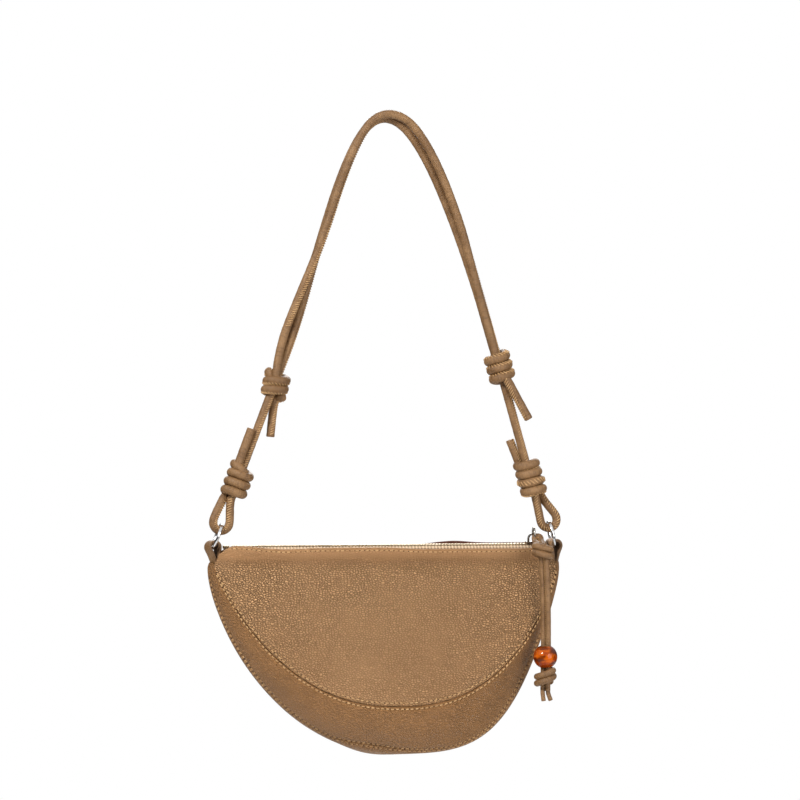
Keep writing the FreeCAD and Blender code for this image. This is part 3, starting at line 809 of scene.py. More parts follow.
# the needle holes are small dark capsules: painted shade in the holes
def hole_shade_finish(w):
    colour = w.mix(w.place().noise(700.0), shade(60, 38, 22), shade(82, 54, 34))
    return w.surface(Base_Color=colour, Roughness=0.9)


seam_thread = finish_of("seam_thread", thread_finish(shade(204, 165, 116), shade(174, 134, 88)))
shaded_thread = finish_of("shaded_thread", thread_finish(shade(190, 150, 102), shade(162, 122, 78)))
hole_shade = finish_of("hole_shade", hole_shade_finish)


def along_line(line, *others):
    """A line and what goes with it, evenly spaced, with its length."""
    step = np.linalg.norm(np.diff(line, axis=0), axis=1)
    travelled = np.concatenate(([0], np.cumsum(step)))

    def at(distance):
        found = []
        for values in (line, *others):
            axes = [np.interp(distance, travelled, values[:, i]) for i in range(3)]
            found.append(np.stack(axes, axis=-1))
        return found

    return at, travelled[-1]


def capsule(middle, along, up, length, radius, sink, points, faces):
    """One bent stitch: rings along a low arch."""
    across = np.cross(up, along)
    first = len(points)
    for r in range(THREAD_RINGS):
        share = -1 + 2 * r / (THREAD_RINGS - 1)
        ring_radius = radius * math.sqrt(max(0.04, 1 - share ** 6))
        heart = middle + along * (share * length / 2) + up * (radius * 0.35 - sink * share ** 4)
        for s in range(THREAD_SIDES):
            turn = 2 * math.pi * s / THREAD_SIDES
            ray = across * (ring_radius * math.cos(turn)) + up * (ring_radius * math.sin(turn))
            points.append(heart + ray)
    for r in range(THREAD_RINGS - 1):
        for s in range(THREAD_SIDES):
            a = first + r * THREAD_SIDES + s
            b = first + r * THREAD_SIDES + (s + 1) % THREAD_SIDES
            faces.append((a, b, b + THREAD_SIDES, a + THREAD_SIDES))
    faces.append(tuple(range(first + THREAD_SIDES - 1, first - 1, -1)))
    last = first + (THREAD_RINGS - 1) * THREAD_SIDES
    faces.append(tuple(range(last, last + THREAD_SIDES)))


def stitch_row(name, line, normal, skip=4.0, thread=seam_thread):
    at, length = along_line(line, normal)
    points = []
    faces = []
    hole_points = []
    hole_faces = []
    count = int((length - 2 * skip) / STITCH_PITCH)
    for i in range(count):
        here = skip + (i + 0.5) * STITCH_PITCH
        middle, up = at(here)
        along = unit(at(here + 0.4)[0] - at(here - 0.4)[0])
        up = unit(up - along * np.dot(up, along))
        slant = unit(along + STITCH_SLANT * np.cross(up, along))
        capsule(middle, slant, up, STITCH_LENGTH, THREAD, STITCH_SINK, points, faces)
        # a dark capsule in the hole between stitches: painted shade
        hole, hole_up = at(here + STITCH_PITCH / 2)
        hole_up = unit(hole_up)
        sunk = hole - hole_up * HOLE_DEPTH
        capsule(sunk, along, hole_up, HOLE_LENGTH, HOLE_RADIUS, 0.0, hole_points, hole_faces)
    put(name + "_stitches", points, faces, thread, "bag")
    put(name + "_holes", hole_points, hole_faces, hole_shade, "bag")
    return count


made = 0
for side in ("front", "back"):
    upper = panels[side + "_upper_panel"]
    lower = panels[side + "_lower_panel"]
    made += stitch_row(side + "_mouth", *upper.row(MOUTH_ROW), skip=9)
    made += stitch_row(side + "_seam_upper", *upper.row(SEAM_ROW, True))
    made += stitch_row(side + "_seam_lower", *lower.row(SEAM_ROW))
    made += stitch_row(side + "_bottom", *lower.row(SEAM_ROW * 0.9, True), skip=8, thread=shaded_thread)
print("stitches", made)

# %% [markdown]
# The strap is two leather cords, each about as thick as a pencil: a strip of hide wrapped round a soft
# core and whipped shut along one side. Each cord goes through a ring, is knotted round itself with its
# tail up, runs over the shoulder, and is knotted round the other cord with its tail down. One smooth
# spline is the middle line of a cord, from the tip of its tail through the turns of its knot to the far
# side, and a tube follows it.

# %% The strap's driving sizes, in millimetres
CORD = 6.4
PLAY = 0.56
PITCH = CORD + PLAY
COIL_RADIUS = CORD + PLAY
ENTRY_SPREAD = 0.9
RING_HALF_SPACING = 133.5
RING_HEIGHT = 8.5
RING_RADIUS = 10.0
RING_WIRE = 2.6
LOOP_RADIUS = 6.4
LOOP_PLAY = 0.45
LOOP_START = RING_RADIUS - RING_WIRE / 2 - CORD / 2 - LOOP_PLAY
LOWER_KNOT_HEIGHT = 48.5
STRAND_OFFSET = 3.9
END_RUN = 20.0
END_REACH = 35.0
TURN_POINTS = 16
HALF_TURN_POINTS = 9
CORD_RADIUS = 3.3
KNOT_RADIUS = 7.3
TURN_RADIUS = 3.65
BACKWARD = np.array((0.0, 1.0, 0.0))
ROUND_TURN = 1 / math.cos(math.pi / TURN_POINTS)


class Side:
    """One side of the strap: the ring, the line of its strand and the loop through the ring."""

    def __init__(self, sign, lean, foot_shift, ring_lean, loop_lean, loop_aim):
        self.sign = sign
        self.ring = np.array((BAG_CENTRE + sign * RING_HALF_SPACING, 0, ZIP_LEVEL + RING_HEIGHT))
        self.foot = self.ring - np.array((sign * foot_shift, 0, 0))
        self.up, self.inward = self.leaning(lean)
        self.ring_up = self.leaning(ring_lean)[0]
        self.loop_up, self.loop_inward = self.leaning(loop_lean)
        self.loop_low = self.ring + self.leaning(loop_aim)[0] * LOOP_START

    def leaning(self, lean):
        angle = math.radians(lean)
        up = np.array((-self.sign * math.sin(angle), 0, math.cos(angle)))
        return up, np.array((-self.sign * math.cos(angle), 0, -math.sin(angle)))

    def on_strand(self, distance):
        return self.foot + self.up * distance

    def at_level(self, z):
        return self.foot + self.up * ((z - self.foot[2]) / self.up[2])


left = Side(sign=-1.0, lean=20.7, foot_shift=0.0, ring_lean=21.0, loop_lean=8.0, loop_aim=28.5)
right = Side(sign=1.0, lean=15.7, foot_shift=4.4, ring_lean=12.0, loop_lean=14.0, loop_aim=6.6)
KNOT_TURNS = 3.5
LEFT_UPPER = {"height": 129.0, "turns": 2.46, "first": 0.58}
RIGHT_UPPER = {"height": 137.0, "turns": 3.31, "first": 0.25}
cord_start = LOWER_KNOT_HEIGHT - PITCH * KNOT_TURNS / 2 - 1
print("rings", 2 * RING_HALF_SPACING, "mm apart, cord", CORD, "mm thick")

# %% [markdown]
# A knot is a few turns of cord round a strand. An even helix would look like a spring, so each turn is
# nearly level across the front, where it is seen, and steps to the next one behind the strand. The four
# knots differ in their turns, in the way that they are wound and in where the tail comes out.

# %% Knots
class Coil:
    """Turns of a knot: nearly level across the front, stepping to the next turn behind the strand."""

    def __init__(self, side, front_level, pitch, first, turns, sense, rising, tilt=0.0, drift=0.0):
        self.side = side
        self.pitch = pitch * rising
        self.first = first
        self.turns = turns
        self.sense = sense
        self.tilt = math.tan(math.radians(tilt))
        self.drift = drift
        to_front = (sense * (0.75 - first)) % 1.0
        self.low = front_level - self.pitch * self.climb(to_front)

    def climb(self, travelled):
        start = 2 * math.pi * self.sense * (self.first - 0.75)
        here = start + 2 * math.pi * travelled
        return travelled - (math.sin(here) - math.sin(start)) / (2 * math.pi)

    def at(self, travelled, radius=KNOT_RADIUS, higher=0.0):
        angle = 2 * math.pi * (self.first + self.sense * travelled)
        flat = self.side.inward * math.cos(angle) + BACKWARD * math.sin(angle)
        level = self.low + self.pitch * self.climb(travelled) + higher
        lifted = radius * math.cos(angle) * self.tilt
        aside = self.side.inward * (self.drift * travelled)
        return self.side.on_strand(level + lifted) + flat * (radius * ROUND_TURN) + aside

    def points(self):
        steps = round(TURN_POINTS * self.turns)
        return [self.at(self.turns * i / steps) for i in range(steps + 1)]


def half_turn(middle, start, through, radius):
    """Points of a half turn round a middle, from one direction through another to the opposite side."""
    turns = np.linspace(0, math.pi, HALF_TURN_POINTS)
    ways = [start * math.cos(turn) + through * math.sin(turn) for turn in turns]
    return [middle + way * (radius * ROUND_TURN) for way in ways]


def beside(side, level, inward, back):
    """A place beside a strand: how far along it, how far in and how far behind."""
    return side.on_strand(level) + side.inward * inward + BACKWARD * back


def loop_points(side):
    """From the standing strand down, through the ring and up again."""
    start = side.on_strand(cord_start)
    turn_middle = side.loop_low + side.loop_up * LOOP_RADIUS
    inner_leg = turn_middle + side.loop_inward * LOOP_RADIUS
    outer_leg = turn_middle - side.loop_inward * LOOP_RADIUS
    points = [start, start - side.up * CORD, inner_leg + side.loop_up * (0.55 * CORD)]
    points += half_turn(turn_middle, side.loop_inward, -side.loop_up, LOOP_RADIUS)
    points.append(outer_leg + side.loop_up * (0.5 * CORD))
    return points


def lower_turns(side, coil):
    """The loop through the ring, the way up beside the strand and the turns of the knot."""
    rise = [beside(side, coil.low - 9, -6.4, 1.5), beside(side, coil.low - 3, -5.0, 5.5)]
    return loop_points(side) + rise + coil.points()


def left_lower_points():
    """Three turns, a last half turn that is tucked under them, and a tail that comes up in front."""
    coil = Coil(left, front_level=37.8, pitch=7.2, first=0.32, turns=3.2, sense=1.0, rising=1.0)
    points = lower_turns(left, coil)
    for i in range(1, 7):
        drop = (i / 6) ** 2
        points.append(coil.at(coil.turns + 0.07 * i, KNOT_RADIUS - 3.5 * drop, -0.9 * i - 2.0 * drop))
    points += [beside(left, 53, 0.5, -3.0), beside(left, 57, -4.4, -4.0), beside(left, 64, -5.0, -4.4)]
    points.append(beside(left, 89.3, -5.0, -4.4))
    return points


def right_lower_points():
    """Four turns and a tail that comes up behind."""
    coil = Coil(right, front_level=36.6, pitch=7.0, first=0.32, turns=3.74, sense=1.0, rising=1.0)
    points = lower_turns(right, coil)
    base = beside(right, 60.0, 4.8, 4.4)
    way = unit(np.array((-0.38, 0, 0.92)))
    points += [beside(right, 57.0, 5.4, 4.6), base, base + way * 20.2]
    return points


def upper_entry(side, knot):
    """Where the cord from the other side comes to a sliding knot."""
    angle = 2 * math.pi * knot["first"]
    flat = side.inward * math.cos(angle) + BACKWARD * math.sin(angle)
    top = side.on_strand(knot["height"] + PITCH * knot["turns"] / 2)
    return top + flat * (COIL_RADIUS + ENTRY_SPREAD) + side.up * (2.5 * CORD)


def left_upper_points():
    """A turn that starts behind the coming cord, two across the front and a tail behind the strand."""
    coil = Coil(
        left, front_level=131.8, pitch=6.9, first=0.5, turns=2.5, sense=-1.0, rising=-1.0,
        tilt=17.0, drift=1.0)
    points = [beside(left, 132.0, -4.4, -2.0), beside(left, 137.0, -7.4, -2.0)]
    points += coil.points()
    base = beside(left, 113.3, 5.3, 4.6)
    way = unit(np.array((-0.09, 0, -1.0)))
    points += [beside(left, 119.5, 5.6, 4.8), base, base + way * 26.0]
    return points


def right_upper_points():
    """Three turns across the front and a tail that comes down in front of the strand."""
    coil = Coil(right, front_level=145.6, pitch=7.4, first=0.3, turns=2.95, sense=1.0, rising=-1.0)
    points = [beside(right, 140.0, 0.5, 3.5), beside(right, 146.0, -1.0, 5.5)]
    points += coil.points()
    base = beside(right, 127.3, -2.5, -6.6)
    way = unit(np.array((0.485, 0, -0.875)))
    points += [beside(right, 131.5, 2.5, 4.0), beside(right, 131.5, 0.5, -3.5)]
    points += [beside(right, 130.0, -1.2, -5.6), base, base + way * 36.0]
    return points


print("points on the lower knots", len(left_lower_points()), "and", len(right_lower_points()))

# %% [markdown]
# From its lower knot each cord follows a straight strand, bends over the shoulder beside the other cord
# and comes down to the sliding knot of the other side. A simulated rope would find its own arch, but this
# one is known, so a few points on its way are enough.

# %% Routes of the cords
LEFT_ROUTE = [(-55, -97), (-34.5, -33), (-14, 3.2), (9, 3.2), (31, -27), (53.5, -80)]
RIGHT_ROUTE = [(57.5, -80), (37, -27), (14, 6.6), (-13, 6.6), (-34, -33), (-54, -97)]
LEFT_STRAIGHT_TOP = -160.0
RIGHT_STRAIGHT_TOP = -112.0
STRAIGHT_HOLD = 45.0


def cord_points(side, knot_points, straight_top, route, depth, other, other_knot):
    """A whole cord: tail, knot, loop, strand, arch and the fall to the other side's sliding knot."""
    points = knot_points[::-1]
    corner = side.at_level(straight_top)
    points.append(corner - side.up * STRAIGHT_HOLD)
    points.append(corner)
    points += [np.array((x, depth, z), float) for x, z in route]
    entry = upper_entry(other, other_knot)
    points.append(entry + other.up * END_REACH)
    points.append(entry + other.up * END_RUN)
    return points


left_cord_points = cord_points(
    left, left_lower_points(), LEFT_STRAIGHT_TOP, LEFT_ROUTE, STRAND_OFFSET, right, RIGHT_UPPER)
right_cord_points = cord_points(
    right, right_lower_points(), RIGHT_STRAIGHT_TOP, RIGHT_ROUTE, -STRAND_OFFSET, left, LEFT_UPPER)
print("points on the left cord", len(left_cord_points), "and on the right cord", len(right_cord_points))

# %% [markdown]
# A curve with a bevel would make the tube too, but it carries no measure of where the whipped seam runs.
# So the spline is read back as points, and a mesh tube is laid on them with its own map: along the cord
# in metres, and round it.

# %% Splines and tubes
TUBE_SIDES = 20
TUBE_STEP = 1.15
SHOULDER = ((0.0, 0.0), (0.0, 0.62), (0.02, 0.86), (0.12, 0.97))
UNEVEN = 0.02


def spline_line(points):
    """Points along a NURBS spline of these control points, evenly spaced."""
    curve = bpy.data.curves.new("route", "CURVE")
    curve.dimensions = "3D"
    curve.resolution_u = 10
    spline = curve.splines.new("NURBS")
    spline.points.add(len(points) - 1)
    for target, point in zip(spline.points, points):
        target.co = (*[float(v) * MM for v in point], 1.0)
    spline.order_u = 3
    spline.use_endpoint_u = True
    holder = bpy.data.objects.new("route", curve)
    mesh = bpy.data.meshes.new_from_object(holder)
    line = np.array([v.co for v in mesh.vertices], float) / MM
    bpy.data.objects.remove(holder)
    bpy.data.curves.remove(curve)
    bpy.data.meshes.remove(mesh)
    at, length = along_line(line)
    return at(np.linspace(0, length, max(8, int(length / TUBE_STEP))))[0], length


def carried_frames(line):
    """Heading, side and up at each point, carried along without twist."""
    heading = unit(np.gradient(line, axis=0))
    side = np.zeros_like(line)
    guess = BACKWARD if abs(heading[0][1]) < 0.9 else np.array((1.0, 0, 0))
    side[0] = unit(guess - heading[0] * np.dot(guess, heading[0]))
    for i in range(1, len(line)):
        moved = side[i - 1] - heading[i] * np.dot(side[i - 1], heading[i])
        side[i] = unit(moved)
    return heading, side, np.cross(heading, side)


def tube_net(line, radius):
    """Rings of points round a line, with rounded shoulders at both ends, and each ring's distance."""
    heading, side, up = carried_frames(line)
    radii = np.broadcast_to(radius, len(line))
    radius = float(np.min(radii))
    travelled = np.linspace(0, along_line(line)[1], len(line))
    last = len(line) - 1
    rings = [(0, share * radius, scale) for share, scale in SHOULDER]
    rings += [(i, 0.0, 1.0) for i in range(1, last)]
    rings += [(last, -share * radius, scale) for share, scale in SHOULDER[::-1]]
    turns = 2 * np.pi * np.arange(TUBE_SIDES) / TUBE_SIDES
    net = []
    places = []
    for i, shift, scale in rings:
        heart = line[i] + heading[i] * shift
        wave = math.sin(travelled[i] * 0.9) * math.sin(travelled[i] * 0.23)
        swell = radii[i] * scale * (1 + UNEVEN * wave)
        ring = np.outer(np.cos(turns), side[i]) + np.outer(np.sin(turns), up[i])
        net.append(heart + ring * swell)
        places.append(travelled[i] + shift)
    return np.array(net), np.array(places)


print("tubes have", TUBE_SIDES, "sides")

# %% [markdown]
# The cord's leather is smoother than the body's, a little darker, with fine creases across it where it
# bends. The whipped seam is a row of slanting pale stitches that wanders slowly round the cord, so it
# shows on some turns of a knot and hides on others. The stitches are real threads laid on the tube.

# %% Cord leather and whipping
CORD_PALE = shade(157, 119, 78)
CORD_MIDDLE = shade(128, 93, 56)
CORD_DEEP = shade(68, 44, 22)
WHIP_PITCH = 2.0
WHIP_REACH = 0.62
WHIP_THREAD = 0.42
WHIP_SLANT = 0.546
WHIP_SINK = 0.45
WHIP_END = 2.0
LOWER_KNOT_SPAN = (32, 60)
UPPER_KNOT_SPAN = (118, 150)
WOUND_BAND = (5.5, 10)
PRESS_REACH = 6


def cord_finish(w):
    flat = w.place("UV")
    place = w.place()
    wrinkle = flat.stretched((900.0, 3.0, 1.0)).noise(1.0, 3.0, 0.6)
    grain = place.cells(1100.0).between(0.0, 0.4)
    drift = place.noise(60.0, 2.0)
    tone = w.mix(drift.between(0.3, 0.7), CORD_MIDDLE, CORD_PALE)
    # the creases are painted darker: partly the cord's own colour, partly painted shade
    tone = w.mix((1 - wrinkle.between(0.3, 0.56)) * 0.45, tone, CORD_DEEP)
    colour = w.mix((1 - grain) * 0.22, tone, CORD_DEEP)
    height = grain * 0.35 + wrinkle * 0.9
    rough = 0.46 + 0.12 * drift
    normal = w.bump(height, 0.8, 0.0005)
    return w.surface(Base_Color=colour, Roughness=rough, Normal=normal, Specular_IOR_Level=0.45)


cord_leather = finish_of("cord_leather", cord_finish)


def make_tube(name, line, radius, body, replaced=()):
    net, places = tube_net(line, radius)
    faces = []
    corners = []
    for r in range(len(net) - 1):
        for s in range(TUBE_SIDES):
            around = ((r, s), (r, s + 1), (r + 1, s + 1), (r + 1, s))
            faces.append([row * TUBE_SIDES + turn % TUBE_SIDES for row, turn in around])
            for row, turn in around:
                corners += [places[row] * MM, turn / TUBE_SIDES]
    mesh = bare_mesh(name, net.reshape(-1, 3), faces)
    mesh.uv_layers.new(name="along_and_round").data.foreach_set("uv", corners)
    return dress(mesh, cord_leather, body, replaced)


def whip_seam(name, line, radius, body, start_turn, twist, pitch=WHIP_PITCH, thread=WHIP_THREAD):
    """Slanting threads over a seam that wanders round a tube."""
    side, up = carried_frames(line)[1:]
    at, length = along_line(line, side, up)
    travelled = np.linspace(0, length, len(line))
    radii = np.broadcast_to(radius, len(line))
    points = []
    faces = []
    for distance in np.arange(WHIP_END, length - WHIP_END, pitch):
        turn = start_turn + twist * distance
        reach = np.interp(distance, travelled, radii)
        trio = []
        for sign in (-1, 0, 1):
            heart, across, over = at(distance + WHIP_SLANT * sign * pitch)
            angle = turn + sign * WHIP_REACH
            way = unit(across * math.cos(angle) + over * math.sin(angle))
            trio.append((heart + way * reach, way))
        span = trio[2][0] - trio[0][0]
        middle, way = trio[1]
        along = unit(span)
        normal = unit(way - along * np.dot(way, along))
        capsule(middle, along, normal, np.linalg.norm(span), thread, WHIP_SINK, points, faces)
    put(name, points, faces, seam_thread, body)


def pressed_radius(line, side, span):
    """The cord's radius along a line: the turns of a knot are pressed wide until they touch."""
    over = line - side.foot
    level = over @ side.up
    aside = np.linalg.norm(over - np.outer(level, side.up), axis=1)
    in_span = (level > span[0]) & (level < span[1])
    wound = in_span & (aside > WOUND_BAND[0]) & (aside < WOUND_BAND[1])
    window = 2 * PRESS_REACH + 1
    padded = np.pad(wound.astype(float), PRESS_REACH, "edge")
    spread = np.convolve(padded, np.ones(window) / window, "valid")
    return CORD_RADIUS + (TURN_RADIUS - CORD_RADIUS) * spread


print("cord finish:", cord_leather.name)

# %% [markdown]
# A cord with its lower knot is one tube on the strap's body, and each sliding knot is a tube on a body of
# its own. The short run of cord that enters a sliding knot is a tube of its own, on no body.

# %% Cords in place
cord_lengths = {}
for name, points, side, seam_turn, replaced in (
    ("left", left_cord_points, left, 0.6, ("left_cord", "left_lower_knot")),
    ("right", right_cord_points, right, 2.4, ("right_cord", "right_lower_knot")),
):
    line, length = spline_line(points)
    radii = pressed_radius(line, side, LOWER_KNOT_SPAN)
    tube = make_tube(name + "_strap_cord", line, radii, "strap", replaced)
    whip_seam(name + "_strap_whipping", line, radii, "strap", seam_turn, twist=0.012)
    tuple(line[0] * MM)
    length * MM
    (line * MM).tolist()
    cord_lengths[name + "_strap_cord"] = length

for name, side, knot, points, inside, end_node in (
    ("left", left, LEFT_UPPER, left_upper_points(), beside(left, 132.0, -0.6, -5.0), "right_cord_end"),
    ("right", right, RIGHT_UPPER, right_upper_points(), beside(right, 140.0, 0.0, 4.4), "left_cord_end"),
):
    body = name + "_slide_knot"
    line, length = spline_line(points)
    radii = pressed_radius(line, side, UPPER_KNOT_SPAN)
    tube = make_tube(name + "_sliding_knot", line, radii, body, (name + "_upper_knot",))
    whip_seam(name + "_sliding_whipping", line, radii, body, 1.2, twist=0.02)
    tuple(line[0] * MM)
    length * MM
    (line * MM).tolist()
    cord_lengths[name + "_sliding_knot"] = length
    entry = upper_entry(side, knot)
    top = entry + side.up * END_RUN
    run = spline_line([top + side.up * 0.6, top - side.up * 8, (entry + inside) / 2, inside])[0]
    tail_run = make_tube(name + "_paid_out_cord", run, CORD_RADIUS, None, (end_node,))
    tuple(top * MM)
    tuple(entry * MM)
    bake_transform(tail_run)
print({name: round(length, 1) for name, length in cord_lengths.items()})

# %% [markdown]
# At either end of the mouth a strip of the cord's leather is folded round the ring and sewn into the
# corner. It is turned a little and seen nearly edge on, so its two layers and the hollow of the fold show;
# the inner face of the fold is painted dark, as painted shade in the hollow. The strip is one band that
# goes round a teardrop line, with rounded, darker cut edges.

# %% Tabs
TAB_HALF_WIDTH = 5.6
TAB_TWIST = math.radians(20)
TAB_WAIST_GAP = 0.9
TAB_LEATHER = 2.3
TAB_HOLE_RADIUS = 3.2
TAB_BASE_DROP = 13.0
TAB_BASE_INSET = 6.5
TAB_BASE_GAP = 0.1
TAB_WAIST_SHARE = 0.45
TAB_WRAP = np.linspace(-0.06, 1.06, 13) * math.pi
TAB_WIDTHS = (-1, -0.97, -0.9, -0.5, 0, 0.5, 0.9, 0.97, 1)
TAB_CROWN = (0.55, 0.85, 1, 1, 1, 1, 1, 0.85, 0.55)
TAB_CUT_SHARE = 0.93


def tab_finish(w):
    place = w.place()
    grain = place.cells(900.0).between(0.0, 0.35)
    tone = w.mix(place.noise(70.0).between(0.3, 0.7), CORD_MIDDLE, CORD_PALE)
    # the cut edges are the strip's own darker colour; the inner face of the fold is painted dark as painted
    # shade of the hollow
    cut = w.attribute("painted_edge")
    colour = w.mix(cut * 0.75, w.mix((1 - grain) * 0.25, tone, CORD_DEEP), CORD_DEEP)
    return w.surface(Base_Color=colour, Roughness=0.5 + 0.2 * cut, Normal=w.bump(grain, 0.35, 0.0003))


tab_leather = finish_of("tab_leather", tab_finish)


def make_tab(name, side):
    rise = RING_RADIUS - math.sqrt(RING_RADIUS ** 2 - TAB_HALF_WIDTH ** 2)
    hole = side.ring - side.ring_up * (RING_RADIUS - rise / 2)
    base = bag_place(np.array(side.sign * (HALF_WIDTH - TAB_BASE_INSET)), 0.0, -TAB_BASE_DROP)
    axis = unit(hole - base)
    across = np.cross(axis, BACKWARD)
    broad = BACKWARD * math.cos(TAB_TWIST) + across * math.sin(TAB_TWIST)
    across = np.cross(axis, broad)
    middle_radius = TAB_HOLE_RADIUS + TAB_LEATHER / 2
    waist = base + (hole - base) * TAB_WAIST_SHARE
    at_base = across * (TAB_LEATHER / 2 + TAB_BASE_GAP)
    at_waist = across * (TAB_LEATHER / 2 + TAB_WAIST_GAP)
    route = [base + at_base, waist + at_waist]
    for angle in TAB_WRAP:
        route.append(hole + (across * math.cos(angle) + axis * math.sin(angle)) * middle_radius)
    route += [waist - at_waist, base - at_base]
    line, length = spline_line(route)
    heading = unit(np.gradient(line, axis=0))
    thick = np.cross(heading, broad)
    grids = []
    for face in (1, -1):
        rows = []
        for width, crown in zip(TAB_WIDTHS, TAB_CROWN):
            lift = thick * (face * crown * TAB_LEATHER / 2)
            rows.append(line + broad * (width * TAB_HALF_WIDTH) + lift)
        grids.append(np.stack(rows))
    points, faces = shell(*grids)
    piece = put(name + "_leather", points, faces, tab_leather, "bag", (name,))
    place = np.array([v.co for v in piece.data.vertices]) / MM
    sideways = (place - base) @ broad
    flat = place - np.outer(sideways, broad)
    nearest = np.argmin(np.linalg.norm(flat[:, None] - line[None], axis=2), axis=1)
    top = len(line) // 2
    inward = np.sign(np.dot(thick[top], hole - line[top]))
    inside = inward * np.sum((flat - line[nearest]) * thick[nearest], axis=1) > 0
    cut = np.abs(sideways) > TAB_CUT_SHARE * TAB_HALF_WIDTH
    # inside is the inner face of the fold, painted dark as painted shade of the hollow
    paint_points(piece, {"painted_edge": np.maximum(cut * 0.7, inside * 1.0)})
    return length


for name, side in (("left_tab", left), ("right_tab", right)):
    print(name, "strip", round(make_tab(name, side), 1), "mm")

# %% [markdown]
# Behind the leather run the zip's two cloth tapes, and the bag is lined with plain cloth. Little of
# either shows: the tapes as a thin line beside the teeth, the lining only when the zip is open. Both are
# thin closed sheets with a real weave in the shader.

# %% Zip tapes and lining
TAPE = 0.7
TAPE_GAP = 0.3
TAPE_FLANGE = 8.0
TAPE_HALF_LENGTH = 129.0
TAPE_EDGE = 1.9
TAPE_COLUMNS = 131
LINING = 0.6
LINING_GAP = 0.6
LINING_START = 12.0
LINING_SLACK = 1.2
LINING_ENDS = 22
LINING_STEP = 3
UPPER_LINING_ROWS = np.linspace(0, 1, 18)[:, None]
LOWER_LINING_ROWS = np.linspace(0.03, 0.92, 10)[:, None]


def weave_finish(pale, deep, threads):
    def paint(w):
        inputs = {"Vector": w.place(), "Scale": threads, "Distortion": 0.6}
        bands = []
        for way in ("X", "Z"):
            settings = {"wave_type": "BANDS", "bands_direction": way}
            bands.append(w.node("ShaderNodeTexWave", settings, inputs, output="Fac"))
        cloth = bands[0] * 0.5 + bands[1] * 0.5
        colour = w.mix(cloth, deep, pale)
        return w.surface(Base_Color=colour, Roughness=0.85, Normal=w.bump(cloth, 0.5, 0.0003))

    return paint


tape_cloth = finish_of("zip_tape", weave_finish(shade(238, 212, 178), shade(104, 68, 42), 120.0))
lining_cloth = finish_of("lining_cloth", weave_finish(shade(150, 122, 96), shade(112, 88, 66), 320.0))


def make_tape(name, side):
    outer = MOUTH_HALF_GAP - LEATHER - 0.2 - TAPE_GAP
    profile = np.array([
        (TAPE_EDGE, -0.1), (2.6, -0.5), (3.6, -1.1), (outer - 1.2, -1.8), (outer - 0.5, -2.2),
        (outer - 0.2, -2.6), (outer - 0.15, -3.4), (outer - 0.15, -5.0), (outer - 0.15, -TAPE_FLANGE),
    ])
    ways = unit(np.gradient(profile, axis=0))
    normals = np.stack((-ways[:, 1], ways[:, 0]), axis=1)
    xs = np.linspace(-TAPE_HALF_LENGTH, TAPE_HALF_LENGTH, TAPE_COLUMNS)
    droop = end_droop(xs, FRONT_DROOP)
    grids = []
    for face in (0.5, -0.5):
        moved = profile + normals * (face * TAPE)
        grids.append(np.stack([bag_place(xs, side * y, z + droop) for y, z in moved]))
    points, faces = shell(*grids)
    put(name + "_cloth", points, faces, tape_cloth, "bag", (name,))


def make_lining(name, side):
    upper = panels[side + "_upper_panel"].arcs
    lower = panels[side + "_lower_panel"].arcs
    picked = slice(LINING_ENDS, COLUMNS - LINING_ENDS, LINING_STEP)
    depth = LEATHER + LINING_GAP + 0.6 + LINING_SLACK
    upper_rows = LINING_START + (upper.length - LINING_START)[None, :] * UPPER_LINING_ROWS
    lower_rows = lower.length[None, :] * LOWER_LINING_ROWS
    folds = 0.35 * np.sin(np.arange(COLUMNS) * 0.35)[None, :]
    grids = []
    for under in (depth, depth + LINING):
        top = upper.at(upper_rows, folds - under + 0 * upper_rows)
        low = lower.at(lower_rows, folds - under + 0 * lower_rows)
        grids.append(np.concatenate((top, low))[:, picked])
    points, faces = shell(*grids)
    put(name + "_cloth", points, faces, lining_cloth, "bag", (name,))


make_tape("zip_tape_front", FRONT)
make_tape("zip_tape_back", BACK)
make_lining("front_lining", "front")
make_lining("back_lining", "back")
print("tapes and lining in place")

# %% [markdown]
# The zip pull is a thin doubled cord through a small ring: a knot just under the ring, a polished amber
# bead and a second knot under the bead, with two cut tails. The doubled cord is again one spline that
# goes up, through the ring and down.

# %% Pull
SLIDER_PLACE = 119.0
PULL_CORD = 4.0
PULL_BEND = 2.7
PULL_KNOT_LIFT = 5.0
PULL_FORWARD = 27.4
PULL_SIDE = 5.5
PULL_TURNS = 2.0
PULL_WOUND = 1.6
PULL_TUCK = 4
PULL_KNOT_DROP = 9.0
BEAD_RADIUS = 9.5
BEAD_DROP = 87.0
PULL_TAIL = 6.0
PULL_RING_RADIUS = 5.0
PULL_RING_WIRE = 1.6
RING_PLAY = 0.3
PULL_STRAND_RADIUS = 0.53 * PULL_CORD
PULL_KNOT_RADIUS = 0.66 * PULL_CORD
PULL_TAIL_RADIUS = 0.45 * PULL_CORD
PULL_LOOP_SHIFT = 2.6
PULL_KNOT_SHIFT = 2.0
PULL_BOW = 1.6
PULL_BELLY = 45.0
PULL_NECK = 14.0
PULL_COLLAR = 5.0
TO_RIGHT = np.array((1.0, 0, 0))
UPWARD = np.array((0, 0, 1.0))
pull_pitch = PULL_CORD + PLAY
pull_half_spacing = PULL_CORD / 2 + 0.15
pull_coil_radius = pull_half_spacing + PULL_CORD + 0.3
ring_low, ring_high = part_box("pull_ring")
pull_ring_middle = (np.array(ring_low) + np.array(ring_high)) / 2 / MM


def pull_axis(z):
    return bag_place(np.array(SLIDER_PLACE + PULL_SIDE), -PULL_FORWARD, z)


pull_foot = pull_axis(-BEAD_DROP - BEAD_RADIUS - 0.6 - pull_pitch * PULL_TURNS - 2 * PULL_CORD)
pull_top = pull_axis(-PULL_KNOT_DROP + PULL_KNOT_LIFT) - TO_RIGHT * PULL_KNOT_SHIFT


